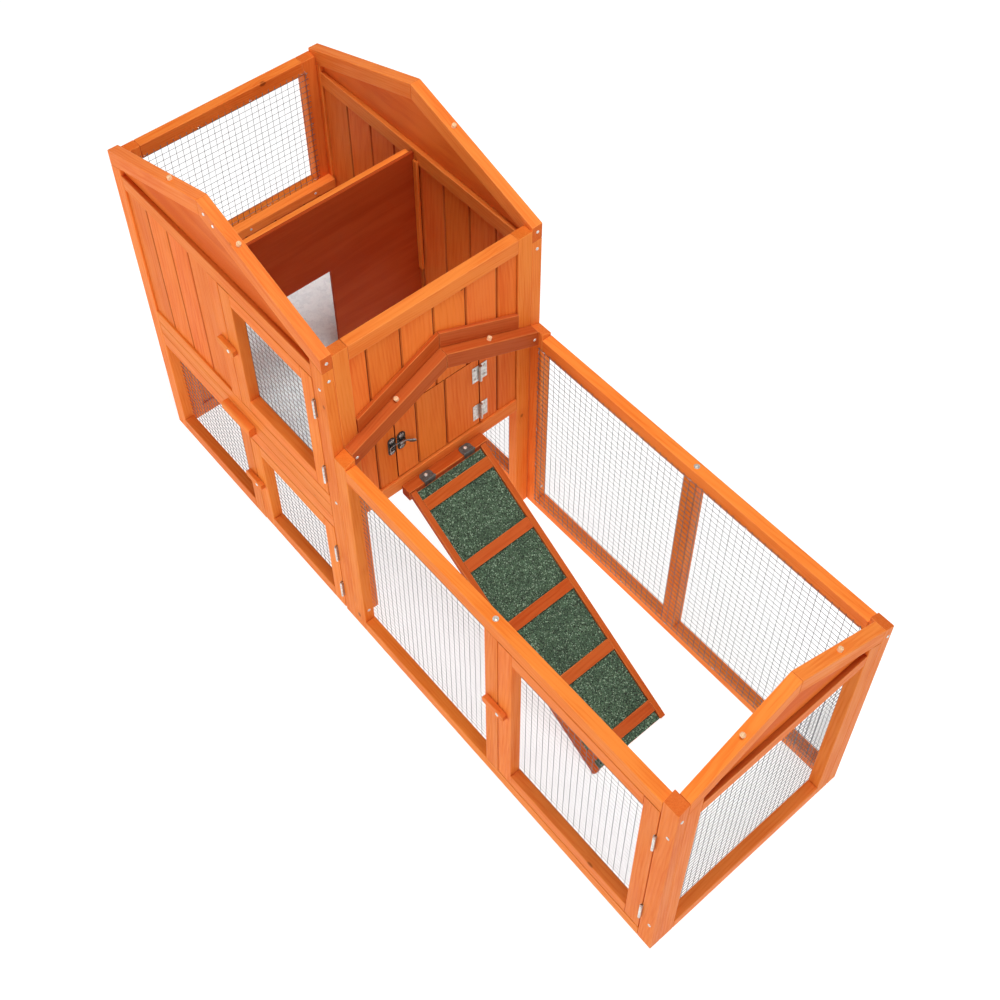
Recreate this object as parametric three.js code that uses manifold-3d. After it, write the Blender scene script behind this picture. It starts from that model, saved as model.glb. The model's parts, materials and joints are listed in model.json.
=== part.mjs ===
// A two-storey rabbit hutch with a wire run beside it, its roofs lifted off.
// Millimetres, +Z up, +X from the house towards the run, +Y from the door side to the back.
// The flat-pack panels are built in corner coordinates: x from the left end of the house, y from the
// front face, z from the ground. The last group moves the whole to its origin, at the middle of its foot.
import * as THREE from "three";
import { mergeVertices } from "three/addons/utils/BufferGeometryUtils.js";
import Module from "manifold-3d";

const wasm = await Module();
wasm.setup();

// ---------------------------------------------------------------- driving dimensions
const LENGTH = 1318; // house and run together
const DEPTH = 420; // front face to back face
const HOUSE_LENGTH = 585;
const HOUSE_EAVE = 716;
const HOUSE_APEX = 817;
const RUN_EAVE = 485;
const RUN_APEX = 585;
const STICK = 20; // thickness of every frame stick
const STILE = 30; // face width of the front and back sticks
const END_STILE = 28; // face width of the end panels' upright sticks
const GAP = 0.3; // between pieces that meet
const PLAY = 2; // round a door or drawer

// House levels, from the ground up.
const SILL_TOP = 30;
const LOWER_HEAD = [258, 290]; // rail over the lower windows and door
const SLOT_TOP = 322; // the drawer slides between the rails at LOWER_HEAD and here
const DOOR_SILL_TOP = 350;
const WALL_HEAD = [650, 680];
const MIDDLE_STILE = [274, 303];

// Boards and sheets.
const BOARD = 12;
const BOARD_RECESS = 4;
const GROOVE_WIDTH = 5;
const GROOVE_DEPTH = 2.5;
const GABLE_PLY = 4;
const WIRE_SHEET = 1.2;
const WIRE_LAP = 9; // how far the wire laps onto its frame

// Doors: width and height ranges in the front panels, and the stick width of each.
const UPPER_DOOR = { x: [305, 552.5], z: [352, 648], stick: 30 };
const LOWER_DOOR = { x: [305, 552.5], z: [3, 256], stick: 29 };
const RUN_DOOR = { x: [968, 1288.5], z: [30, 448], stick: 29 };
const POP_DOOR = { y: [118, 292.5], z: [322, 492] };

// Door furniture.
const KNUCKLE_RADIUS = 3;
const KNUCKLE_HEIGHT = 42;
const LEAF = 0.8;
const LEAF_WIDTH = 16;
const BUTTON = { length: 50, width: 18, thick: 9, overhang: 36 };
const HANDLE = { length: 84, height: 20, proud: 14 };

// Drawer and divider.
const TRAY = { x: [34, 551], y: [STICK + GAP, 396], z: [294, 315], sheet: 1.5 };
const RUNNER_WIDTH = 23;
const DIVIDER = { x: [287, 293], y: [21.5, 398.5], z: [318, 675], batten: [277, 25.5], doorY: 213, doorZ: 518 };
const GUIDE = { x: [277, 303], deep: 5.5, z: [403, 660] };

// Run.
const RUN_START = HOUSE_LENGTH + GAP;
const RUN_POST = 28;
const RUN_RAIL = [450, 480];
const RUN_FOOT = 28;
const RUN_MIDDLE = [938, 966];
const RAFTER = 30; // square across its slope
const HEADER_THICK = 20;

// Ramp: its top edge, its slope and its build-up, from the underside to the tread.
const RAMP_TOP = { x: 607, z: 299.9 };
const RAMP_SLOPE = THREE.MathUtils.degToRad(31.95);
const RAMP_LENGTH = 543.5;
const RAMP_Y = [122, 282];
const RAMP_THICK = 12;
const RAMP_BOARD = 6;
const RAMP_FELT = 1.2;
const RAMP_RAIL = 10.5;
const CLEAT = { width: 20.5, first: 30.5, pitch: 121.5, count: 5, thick: 4.2 };
const LEDGE = { x: [RUN_START, 605], y: [120, 290], z: [278, 300] };

// ---------------------------------------------------------------- materials
const paint = (color, roughness, metalness = 0) =>
  new THREE.MeshStandardMaterial({ color, roughness, metalness });

const makeStick = () => paint("#f08a45", 0.55);
const makeBoard = () => paint("#e57f3c", 0.6);
const makePly = () => paint("#c96a35", 0.6);
const makeWire = () => paint("#a9adae", 0.35, 0.9);
const makeZinc = () => paint("#c6cac8", 0.3, 0.9);
const makeFelt = () => paint("#3d5a42", 0.95);
const makeBlackMetal = () => paint("#1c1c1e", 0.35, 0.6);
const makeGreyMetal = () => paint("#56565a", 0.45, 0.7);

// ---------------------------------------------------------------- solids
// A closed geometry as a manifold solid, and back.
function toSolid(geometry) {
  const bare = geometry.clone();
  bare.deleteAttribute("normal");
  bare.deleteAttribute("uv");
  const merged = mergeVertices(bare, 1e-4);
  return new wasm.Manifold(
    new wasm.Mesh({
      numProp: 3,
      vertProperties: merged.attributes.position.array,
      triVerts: new Uint32Array(merged.index.array),
    }),
  );
}

function toGeometry(solid) {
  const mesh = solid.getMesh();
  const geometry = new THREE.BufferGeometry();
  geometry.setAttribute("position", new THREE.BufferAttribute(mesh.vertProperties, 3));
  geometry.setIndex(new THREE.BufferAttribute(mesh.triVerts, 1));
  geometry.computeVertexNormals();
  return geometry;
}

const join = (...geometries) =>
  toGeometry(geometries.map(toSolid).reduce((whole, piece) => whole.add(piece)));

const cut = (body, ...tools) =>
  toGeometry(tools.map(toSolid).reduce((whole, tool) => whole.subtract(tool), toSolid(body)));

// An outline of [a, b] points drawn out along one axis. a and b are the other two axes in order:
// x and z along "y", y and z along "x", x and y along "z".
function prism(axis, points, from, to) {
  const shape = new THREE.Shape(points.map(([a, b]) => new THREE.Vector2(a, b)));
  return drawOut(axis, shape, from, to);
}

function drawOut(axis, shape, from, to) {
  const geometry = new THREE.ExtrudeGeometry(shape, {
    depth: to - from,
    bevelEnabled: false,
    curveSegments: 8,
  });
  if (axis === "z") return geometry.translate(0, 0, from);
  if (axis === "y") return geometry.rotateX(Math.PI / 2).translate(0, to, 0);
  const turned = new THREE.Matrix4().set(0, 0, 1, from, 1, 0, 0, 0, 0, 1, 0, 0, 0, 0, 0, 1);
  return geometry.applyMatrix4(turned);
}

const rectangle = ([a0, a1], [b0, b1]) => [
  [a0, b0],
  [a1, b0],
  [a1, b1],
  [a0, b1],
];

const block = (x, y, z) => prism("z", rectangle(x, y), ...z);

// A flat panel of several outlines joined into one piece.
const panel = (axis, outlines, [from, to]) =>
  join(...outlines.map((outline) => prism(axis, outline, from, to)));

// The height of a gable's top edge at a place along it.
const gableLine = (span, eave, apex) => (place) =>
  eave + (apex - eave) * (1 - Math.abs(place - span / 2) / (span / 2));

const houseTop = gableLine(HOUSE_LENGTH, HOUSE_EAVE, HOUSE_APEX);
const runTop = gableLine(DEPTH, RUN_EAVE, RUN_APEX);

// A rafter's depth measured straight down.
const plumbDepth = (span, eave, apex) => RAFTER * Math.hypot(1, (apex - eave) / (span / 2));
const HOUSE_RAFTER = plumbDepth(HOUSE_LENGTH, HOUSE_EAVE, HOUSE_APEX);
const RUN_RAFTER = plumbDepth(DEPTH, RUN_EAVE, RUN_APEX);

// A post from the ground to a little under a gable's edge.
const postUnder = (line, [a0, a1], drop) => [
  [a0, 0],
  [a1, 0],
  [a1, line(a1) - drop],
  [a0, line(a0) - drop],
];

// A band that follows a gable's edge, between two depths below it.
const gableBand = (line, [a0, a1], upper, lower) => {
  const middle = (a0 + a1) / 2;
  return [
    [a0, line(a0) - upper],
    [middle, line(middle) - upper],
    [a1, line(a1) - upper],
    [a1, line(a1) - lower],
    [middle, line(middle) - lower],
    [a0, line(a0) - lower],
  ];
};

// The plywood that fills a gable above a rail.
const gableFill = (line, [a0, a1], base, drop) => {
  const middle = (a0 + a1) / 2;
  return [
    [a0, base],
    [a1, base],
    [a1, line(a1) - drop],
    [middle, line(middle) - drop],
    [a0, line(a0) - drop],
  ];
};

// Tongue-and-groove boards as one sheet, with a V-groove on both faces at each joint.
// along is the axis that the boards are counted on, "x" or "y"; depth is the sheet's two faces.
function groovedBoards(along, [start, end], [near, far], joints, z) {
  const half = GROOVE_WIDTH / 2;
  const notch = (place, face, inwards) => [
    [place - half * inwards, face],
    [place, face + GROOVE_DEPTH * inwards],
    [place + half * inwards, face],
  ];
  const outline = [
    [start, near],
    ...joints.flatMap((place) => notch(place, near, 1)),
    [end, near],
    [end, far],
    ...[...joints].reverse().flatMap((place) => notch(place, far, -1)),
    [start, far],
  ];
  const swapped = along === "x" ? outline : outline.map(([a, b]) => [b, a]);
  return prism("z", swapped, ...z);
}

// Board joints at even steps inside a stretch.
const evenJoints = (first, pitch, count) => Array.from({ length: count }, (_, i) => first + i * pitch);

// A range drawn in by the same amount at both ends.
const inset = ([from, to], by) => [from + by, to - by];

// ---------------------------------------------------------------- assembly helpers
function named(name, geometry, material) {
  const mesh = new THREE.Mesh(geometry, material);
  mesh.name = name;
  return mesh;
}

function grouped(...members) {
  const group = new THREE.Group();
  group.add(...members);
  return group;
}

// Layer ranges: each panel's sticks, recessed boards, ply and inner wire sheet across its thickness.
const FRONT = {
  sticks: [0, STICK],
  boards: [BOARD_RECESS, BOARD_RECESS + BOARD],
  ply: [(STICK - GABLE_PLY) / 2, (STICK + GABLE_PLY) / 2],
  wire: [STICK + GAP, STICK + GAP + WIRE_SHEET],
};
const mirrored = (layers, size) =>
  Object.fromEntries(Object.entries(layers).map(([key, [a, b]]) => [key, [size - b, size - a]]));
const BACK = mirrored(FRONT, DEPTH);
const HOUSE_LEFT = FRONT;
const HOUSE_RIGHT = mirrored(FRONT, HOUSE_LENGTH);
const RUN_END = mirrored(FRONT, LENGTH);
const BETWEEN = [STICK + GAP, DEPTH - STICK - GAP]; // where the end panels fit, front to back
const END_WIDTH = inset(BETWEEN, END_STILE - GAP); // between an end panel's stiles

// ---------------------------------------------------------------- house
const houseWidth = [0, HOUSE_LENGTH];
const leftStile = [0, STILE];
const rightStile = [HOUSE_LENGTH - STILE, HOUSE_LENGTH];
const betweenStiles = [STILE, HOUSE_LENGTH - STILE];

function houseFront() {
  const overlap = [STILE - 5, HOUSE_LENGTH - STILE + 5];
  const sticks = [
    postUnder(houseTop, leftStile, HOUSE_RAFTER + GAP),
    postUnder(houseTop, rightStile, HOUSE_RAFTER + GAP),
    rectangle(overlap, WALL_HEAD),
    rectangle(overlap, [SLOT_TOP, DOOR_SILL_TOP]),
    rectangle(overlap, LOWER_HEAD),
    rectangle([overlap[0], MIDDLE_STILE[1]], [0, SILL_TOP]),
    rectangle(MIDDLE_STILE, [0, LOWER_HEAD[1]]),
    rectangle(MIDDLE_STILE, [SLOT_TOP, WALL_HEAD[1]]),
  ];
  const boardSpan = inset([STILE, MIDDLE_STILE[0]], GAP);
  const boardRise = inset([DOOR_SILL_TOP, WALL_HEAD[0]], GAP);
  const windowSpan = [STILE - WIRE_LAP + GAP, MIDDLE_STILE[0] + WIRE_LAP];
  const windowRise = [SILL_TOP - WIRE_LAP, LOWER_HEAD[0] + WIRE_LAP];
  return grouped(
    named("house_front_frame", panel("y", sticks, FRONT.sticks), makeStick()),
    named("house_front_rafters", gableRafters(FRONT), makeStick()),
    named("house_front_gable_panel", gablePanel(FRONT), makePly()),
    named(
      "house_front_boards",
      groovedBoards("x", boardSpan, FRONT.boards, evenJoints(88, 62, 3), boardRise),
      makeBoard(),
    ),
    named("house_front_lower_wire", prism("y", rectangle(windowSpan, windowRise), ...FRONT.wire), makeWire()),
  );
}

const gableRafters = (layers) =>
  prism("y", gableBand(houseTop, houseWidth, 0, HOUSE_RAFTER), ...layers.sticks);

const gablePanel = (layers) => {
  const outline = gableFill(houseTop, inset(betweenStiles, GAP), WALL_HEAD[1] + GAP, HOUSE_RAFTER + GAP);
  return prism("y", outline, ...layers.ply);
};

function houseBack() {
  const overlap = [STILE - 5, HOUSE_LENGTH - STILE + 5];
  const middle = [278, 308];
  const floorRail = [290, 320];
  const sticks = [
    postUnder(houseTop, leftStile, HOUSE_RAFTER + GAP),
    postUnder(houseTop, rightStile, HOUSE_RAFTER + GAP),
    rectangle(overlap, WALL_HEAD),
    rectangle(overlap, floorRail),
    rectangle(overlap, [0, SILL_TOP]),
    rectangle(middle, [0, floorRail[1]]),
  ];
  const boardSpan = inset(betweenStiles, GAP);
  const boardRise = inset([floorRail[1], WALL_HEAD[0]], GAP);
  const wireSpan = [STILE - WIRE_LAP + GAP, HOUSE_LENGTH - STILE + WIRE_LAP - GAP];
  const wireRise = [SILL_TOP - WIRE_LAP, floorRail[0] + WIRE_LAP];
  return grouped(
    named("house_back_frame", panel("y", sticks, BACK.sticks), makeStick()),
    named("house_back_rafters", gableRafters(BACK), makeStick()),
    named("house_back_gable_panel", gablePanel(BACK), makePly()),
    named(
      "house_back_boards",
      groovedBoards("x", boardSpan, BACK.boards, evenJoints(98, 66, 7), boardRise),
      makeBoard(),
    ),
    named("house_back_lower_wire", prism("y", rectangle(wireSpan, wireRise), ...BACK.wire), makeWire()),
  );
}

// The two upright sticks of an end panel.
const endStiles = (top) => [
  rectangle([BETWEEN[0], END_STILE + STICK], [0, top]),
  rectangle([DEPTH - STICK - END_STILE, BETWEEN[1]], [0, top]),
];

function houseLeft() {
  const top = 710;
  const headRail = [682, top];
  const sill = [405, 435];
  const sticks = [
    ...endStiles(top),
    rectangle(BETWEEN, headRail),
    rectangle(BETWEEN, sill),
    rectangle(BETWEEN, [0, SILL_TOP]),
  ];
  const batten = block([STICK - 5, 2 * STICK - 0.5], BETWEEN, [sill[1] - STICK, sill[1]]);
  const boardRise = inset([SILL_TOP, sill[0]], GAP);
  const boardSpan = inset(END_WIDTH, GAP);
  const wireSpan = inset(END_WIDTH, -WIRE_LAP);
  const wireRise = [sill[1] + GAP, headRail[0] + WIRE_LAP]; // stands on the batten behind the sill
  return grouped(
    named("house_left_frame", join(panel("x", sticks, HOUSE_LEFT.sticks), batten), makeStick()),
    named(
      "house_left_boards",
      groovedBoards("y", boardSpan, HOUSE_LEFT.boards, evenJoints(80, 65, 5), boardRise),
      makeBoard(),
    ),
    named("house_left_wire", prism("x", rectangle(wireSpan, wireRise), ...HOUSE_LEFT.wire), makeWire()),
  );
}

function houseRight() {
  const top = 710;
  const floorRail = [290, 320];
  const headRail = [680, top];
  const sticks = [
    ...endStiles(top),
    rectangle(BETWEEN, headRail),
    rectangle(BETWEEN, floorRail),
  ];
  const boardRise = inset([floorRail[1], headRail[0]], GAP);
  const boards = groovedBoards(
    "y",
    inset(END_WIDTH, GAP),
    HOUSE_RIGHT.boards,
    evenJoints(80.5, 62.7, 5),
    boardRise,
  );
  const doorway = block([HOUSE_LENGTH - STICK, HOUSE_LENGTH], inset(POP_DOOR.y, -PLAY / 2), [
    floorRail[0],
    POP_DOOR.z[1] + PLAY / 2,
  ]);
  const batten = gableBand(runTop, inset(END_WIDTH, GAP), -RUN_RAFTER, -GAP * 2);
  return grouped(
    named("house_right_frame", panel("x", sticks, HOUSE_RIGHT.sticks), makeStick()),
    named("house_right_boards", cut(boards, doorway), makeBoard()),
    named(
      "house_right_batten",
      prism("x", batten, HOUSE_RIGHT.boards[1] + GAP, HOUSE_LENGTH + 3),
      makeStick(),
    ),
  );
}

// ---------------------------------------------------------------- drawer and divider
function drawer() {
  const slot = [LOWER_HEAD[1], SLOT_TOP];
  const { x, y, z, sheet } = TRAY;
  const pan = cut(block(x, y, z), block(inset(x, sheet), inset(y, sheet), [z[0] + sheet, z[1] + sheet]));
  return grouped(
    named("tray", pan, makeZinc()),
    named("drawer_front", block(inset(betweenStiles, 1), FRONT.sticks, inset(slot, 1)), makeStick()),
    named("drawer_handle", drawerHandle(slot[0] + 2), makeStick()),
  );
}

// A grip bar with its lower edge cut back, drawn out along the drawer's width.
function drawerHandle(base) {
  const middle = HOUSE_LENGTH / 2;
  const { length, height, proud } = HANDLE;
  const section = new THREE.Shape();
  section.moveTo(-GAP, base);
  section.lineTo(-proud + 5, base);
  section.quadraticCurveTo(-proud, base, -proud, base + 5);
  section.lineTo(-proud, base + height - 5);
  section.quadraticCurveTo(-proud, base + height, -proud + 5, base + height);
  section.lineTo(-GAP, base + height);
  return drawOut("x", section, middle - length / 2, middle + length / 2);
}

function runners() {
  const y = [24, 396];
  const z = [278, TRAY.z[0] - GAP];
  const left = [STICK + GAP, STICK + GAP + RUNNER_WIDTH];
  const right = [HOUSE_LENGTH - left[1], HOUSE_LENGTH - left[0]];
  return grouped(
    named("tray_runner_left", block(left, y, z), makeStick()),
    named("tray_runner_right", block(right, y, z), makeStick()),
  );
}

// The room divider: a plywood sheet with a doorway at its front, hanging by the batten along its top.
function divider() {
  const { x, y, z, batten, doorY, doorZ } = DIVIDER;
  const outline = [
    [doorY, z[0]],
    [y[1], z[0]],
    [y[1], z[1]],
    [y[0], z[1]],
    [y[0], doorZ],
    [doorY, doorZ],
  ];
  const [side, height] = batten;
  const sheet = prism("x", outline, ...x);
  const betweenGuides = inset(y, GUIDE.deep);
  return join(sheet, block([side, x[0] + 1], betweenGuides, [z[1] - height, z[1]]));
}

// A grooved upright that the divider slides in. wall is the face it is fixed to, and out points from it.
function dividerGuide(wall, out, z) {
  const slack = 0.5;
  const base = 1;
  const tip = wall + out * GUIDE.deep;
  const foot = wall + out * GAP;
  const ordered = (a, b) => [Math.min(a, b), Math.max(a, b)];
  const slot = block(inset(DIVIDER.x, -slack), ordered(wall + out * base, tip + out), inset(z, -1));
  return cut(block(GUIDE.x, ordered(foot, tip), z), slot);
}

// ---------------------------------------------------------------- doors and their furniture
// A door of four sticks with wire on its inner face, both built flat in the front panel.
function wireDoor(name, { x, z, stick }) {
  const sticks = [
    rectangle([x[0], x[0] + stick], z),
    rectangle([x[1] - stick, x[1]], z),
    rectangle(x, [z[0], z[0] + stick]),
    rectangle(x, [z[1] - stick, z[1]]),
  ];
  const wire = rectangle(inset(x, stick - WIRE_LAP), inset(z, stick - WIRE_LAP));
  return grouped(
    named(name + "_frame", panel("y", sticks, FRONT.sticks), makeStick()),
    named(name + "_wire", prism("y", wire, ...FRONT.wire), makeWire()),
  );
}

// The half of a butt hinge that turns with a front door: knuckle in front, leaf down the door's edge.
function doorHinge(name, edge, height) {
  const axisX = edge + 1.2;
  const axisY = -KNUCKLE_RADIUS - GAP;
  const z = [height - KNUCKLE_HEIGHT / 2, height + KNUCKLE_HEIGHT / 2];
  const leaf = block([edge + GAP, edge + GAP + LEAF], [axisY, LEAF_WIDTH], z);
  return named(name, join(knuckle(axisX, axisY, z), leaf), makeZinc());
}

function knuckle(x, y, [bottom, top]) {
  const pin = new THREE.CylinderGeometry(KNUCKLE_RADIUS, KNUCKLE_RADIUS, top - bottom, 16);
  return pin.rotateX(Math.PI / 2).translate(x, y, (bottom + top) / 2);
}

// A wooden turn button with round ends, lying across the door's free edge.
function turnButton(name, doorEdge, height) {
  const { length, width, thick, overhang } = BUTTON;
  const radius = width / 2;
  const left = doorEdge + 8 - overhang + radius;
  const right = left + length - width;
  const outline = new THREE.Shape();
  outline.absarc(right, height, radius, -Math.PI / 2, Math.PI / 2);
  outline.absarc(left, height, radius, Math.PI / 2, 1.5 * Math.PI);
  return named(name, drawOut("y", outline, -thick - GAP, -GAP), makeStick());
}

function popDoor() {
  const joints = [162, 222, 282].filter((place) => place < POP_DOOR.y[1] - GROOVE_WIDTH * 3);
  const boards = groovedBoards("y", POP_DOOR.y, HOUSE_RIGHT.boards, joints, POP_DOOR.z);
  return grouped(
    named("pop_door", boards, makeBoard()),
    popHinge("pop_door_hinge_top", 455),
    popHinge("pop_door_hinge_bottom", 356),
  );
}

// The half of a surface hinge that lies on the pop door's face.
function popHinge(name, height) {
  const face = HOUSE_RIGHT.boards[1] + GAP;
  const z = [height - 19, height + 19];
  const leaf = block([face, face + LEAF], [POP_DOOR.y[1] - 15, POP_DOOR.y[1]], z);
  return named(name, join(leaf, knuckle(face + KNUCKLE_RADIUS, POP_DOOR.y[1] + 0.5, z)), makeZinc());
}

// The hook latch beside the pop door's free edge: two plates, and an arm that turns on the door's plate.
function hookLatch() {
  const face = HOUSE_RIGHT.boards[1] + GAP;
  const plate = [face, face + 1.5];
  const armX = [plate[1] + 2.5, plate[1] + 5]; // passes over the plates' domed screws
  const middle = 414;
  const pivot = new THREE.Vector2(128.5, middle);
  return grouped(
    named("hook_wall_plate", hookPlate([102, 116.5], [394, 436], plate, armX), makeBlackMetal()),
    named("hook_door_plate", hookPlate([120.5, 137], [394, 436], plate), makeBlackMetal()),
    named("hook_arm", hookArm(pivot, armX, plate[1] + GAP), makeBlackMetal()),
  );
}

// A plate with round ends; peg, where it has one, is how far its catch pin stands out.
function hookPlate([y0, y1], [z0, z1], plate, peg) {
  const middle = (y0 + y1) / 2;
  const radius = (y1 - y0) / 2;
  const outline = new THREE.Shape();
  outline.absarc(middle, z1 - radius, radius, 0, Math.PI);
  outline.absarc(middle, z0 + radius, radius, Math.PI, 2 * Math.PI);
  const base = drawOut("x", outline, ...plate);
  if (!peg) return base;
  const pin = new THREE.CylinderGeometry(2.5, 2.5, peg[1] - plate[0], 12);
  pin.rotateZ(Math.PI / 2).translate((plate[0] + peg[1]) / 2, middle, (z0 + z1) / 2);
  return join(base, pin);
}

// The arm: a bar from the pivot to a claw over the catch pin, with a thumb tail on the other side,
// and a boss that carries it out from the door's plate.
function hookArm(pivot, [x0, x1], plateFace) {
  const bar = 3.5;
  const claw = 109.25;
  const tail = { y: 153, z: 398 };
  const outline = new THREE.Shape();
  outline.moveTo(tail.y, tail.z - bar);
  outline.lineTo(tail.y + bar, tail.z + bar);
  outline.lineTo(pivot.x + 6, pivot.y + 6);
  outline.quadraticCurveTo(pivot.x, pivot.y + 10, claw, pivot.y + 9);
  outline.quadraticCurveTo(claw - 9, pivot.y + 7, claw - 7.5, pivot.y - 6);
  outline.lineTo(claw - 4, pivot.y - 6);
  outline.quadraticCurveTo(claw - 4.5, pivot.y + 4.8, claw, pivot.y + 5);
  outline.lineTo(pivot.x - 6, pivot.y + 1);
  outline.quadraticCurveTo(pivot.x - 3, pivot.y - 7, pivot.x + 4, pivot.y - 5);
  const boss = new THREE.CylinderGeometry(5, 5, x1 - plateFace, 16);
  boss.rotateZ(Math.PI / 2).translate((plateFace + x1) / 2, pivot.x, pivot.y);
  return join(drawOut("x", outline, x0, x1), boss);
}

// ---------------------------------------------------------------- run
// A run side's post, its top cut to the slope of the run's gable.
function runPost([x0, x1], [y0, y1]) {
  const outline = [
    [y0, 0],
    [y1, 0],
    [y1, runTop(y1)],
    [y0, runTop(y0)],
  ];
  return prism("x", outline, x0, x1);
}

// One long side of the run: two posts, rails and a middle stile in one frame.
function runSide(y) {
  const ends = [RUN_START, LENGTH];
  const flat = [
    rectangle(inset(ends, RUN_POST - 5), [0, RUN_FOOT]),
    rectangle(inset(ends, RUN_POST - 5), RUN_RAIL),
    rectangle(RUN_MIDDLE, [0, RUN_RAIL[1]]),
  ];
  return join(
    runPost([ends[0], ends[0] + RUN_POST], y),
    runPost([ends[1] - RUN_POST, ends[1]], y),
    ...flat.map((outline) => prism("y", outline, ...y)),
  );
}

function runFront() {
  const windowSpan = [RUN_START + RUN_POST - WIRE_LAP, RUN_MIDDLE[0] + WIRE_LAP];
  const windowRise = [RUN_FOOT - WIRE_LAP, RUN_RAIL[0] + WIRE_LAP];
  return grouped(
    named("run_front_frame", runSide(FRONT.sticks), makeStick()),
    named("run_front_wire", prism("y", rectangle(windowSpan, windowRise), ...FRONT.wire), makeWire()),
  );
}

function runBack() {
  const wireSpan = [RUN_START + RUN_POST - WIRE_LAP, LENGTH - STICK - GAP];
  const wireRise = [RUN_FOOT - WIRE_LAP, RUN_RAIL[0] + WIRE_LAP];
  return grouped(
    named("run_back_frame", runSide(BACK.sticks), makeStick()),
    named("run_back_wire", prism("y", rectangle(wireSpan, wireRise), ...BACK.wire), makeWire()),
  );
}

function runEnd() {
  const rail = [428, 456];
  const foot = 25;
  const stiles = [
    [BETWEEN[0], END_STILE + STICK],
    [DEPTH - STICK - END_STILE, BETWEEN[1]],
  ];
  const sticks = [
    ...stiles.map((span) => postUnder(runTop, span, RUN_RAFTER + GAP)),
    rectangle(BETWEEN, rail),
    rectangle(BETWEEN, [0, foot]),
  ];
  const fill = gableFill(runTop, inset(END_WIDTH, GAP), rail[1] + GAP, RUN_RAFTER + GAP);
  const wireSpan = inset(END_WIDTH, -WIRE_LAP);
  const wireRise = [foot - WIRE_LAP, rail[0] + WIRE_LAP];
  return grouped(
    named("run_end_frame", panel("x", sticks, RUN_END.sticks), makeStick()),
    named("run_end_rafters", runRafters(RUN_END.sticks), makeStick()),
    named("run_end_gable_panel", prism("x", fill, ...RUN_END.ply), makePly()),
    named("run_end_wire", prism("x", rectangle(wireSpan, wireRise), ...RUN_END.wire), makeWire()),
    named(
      "run_header_rafters",
      runRafters([HOUSE_LENGTH + GAP, HOUSE_LENGTH + GAP + HEADER_THICK]),
      makeStick(),
    ),
  );
}

const runRafters = (x) => prism("x", gableBand(runTop, BETWEEN, 0, RUN_RAFTER), ...x);

// ---------------------------------------------------------------- ramp
// The ramp lies in its own frame: +X down the slope from its top edge, Z square to the tread.
function ramp() {
  const tread = inset(RAMP_Y, RAMP_RAIL + GAP);
  const boardTop = RAMP_BOARD - RAMP_THICK;
  const feltTop = boardTop + GAP + RAMP_FELT;
  const lying = grouped(
    named("ramp_board", slopeSheet(tread, [-RAMP_THICK, boardTop]), makePly()),
    named("ramp_felt", slopeSheet(tread, [boardTop + GAP, feltTop]), makeFelt()),
    named("ramp_frame", rampFrame(), makeStick()),
  );
  lying.position.set(RAMP_TOP.x, 0, RAMP_TOP.z);
  lying.rotation.y = RAMP_SLOPE;
  return grouped(
    lying,
    named("ramp_ledge", block(LEDGE.x, LEDGE.y, LEDGE.z), makeStick()),
    named("ramp_hinge_front", rampHinge([151.5, 175.5]), makeGreyMetal()),
    named("ramp_hinge_back", rampHinge([236.5, 260.5]), makeGreyMetal()),
  );
}

// A layer of the ramp, its top end cut plumb so that it stands clear of the ledge.
function slopeSheet(y, [low, high]) {
  const plumb = (depth) => -depth * Math.tan(RAMP_SLOPE);
  const outline = [
    [plumb(low), low],
    [RAMP_LENGTH, low],
    [RAMP_LENGTH, high],
    [plumb(high), high],
  ];
  return prism("y", outline, ...y);
}

// The two side rails with the cleats between them, over the felt.
function rampFrame() {
  const lowest = -RAMP_THICK;
  const [y0, y1] = RAMP_Y;
  const rails = [
    slopeSheet([y0, y0 + RAMP_RAIL], [lowest, 0]),
    slopeSheet([y1 - RAMP_RAIL, y1], [lowest, 0]),
  ];
  const cleats = Array.from({ length: CLEAT.count }, (_, i) => {
    const middle = CLEAT.first + i * CLEAT.pitch;
    const span = [middle - CLEAT.width / 2, middle + CLEAT.width / 2];
    return block(span, inset(RAMP_Y, RAMP_RAIL - 1), [-CLEAT.thick, 0]);
  });
  return join(...rails, ...cleats);
}

// The leaf of a ramp hinge on the ledge, with its knuckle along the ledge's edge.
function rampHinge([y0, y1]) {
  const radius = 2.5;
  const top = LEDGE.z[1] + GAP;
  const leaf = block([LEDGE.x[0] + 2, LEDGE.x[1]], [y0, y1], [top, top + 1.2]);
  const roll = new THREE.CylinderGeometry(radius, radius, y1 - y0, 16);
  roll.translate(LEDGE.x[1], (y0 + y1) / 2, top + radius);
  return join(leaf, roll);
}

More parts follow.
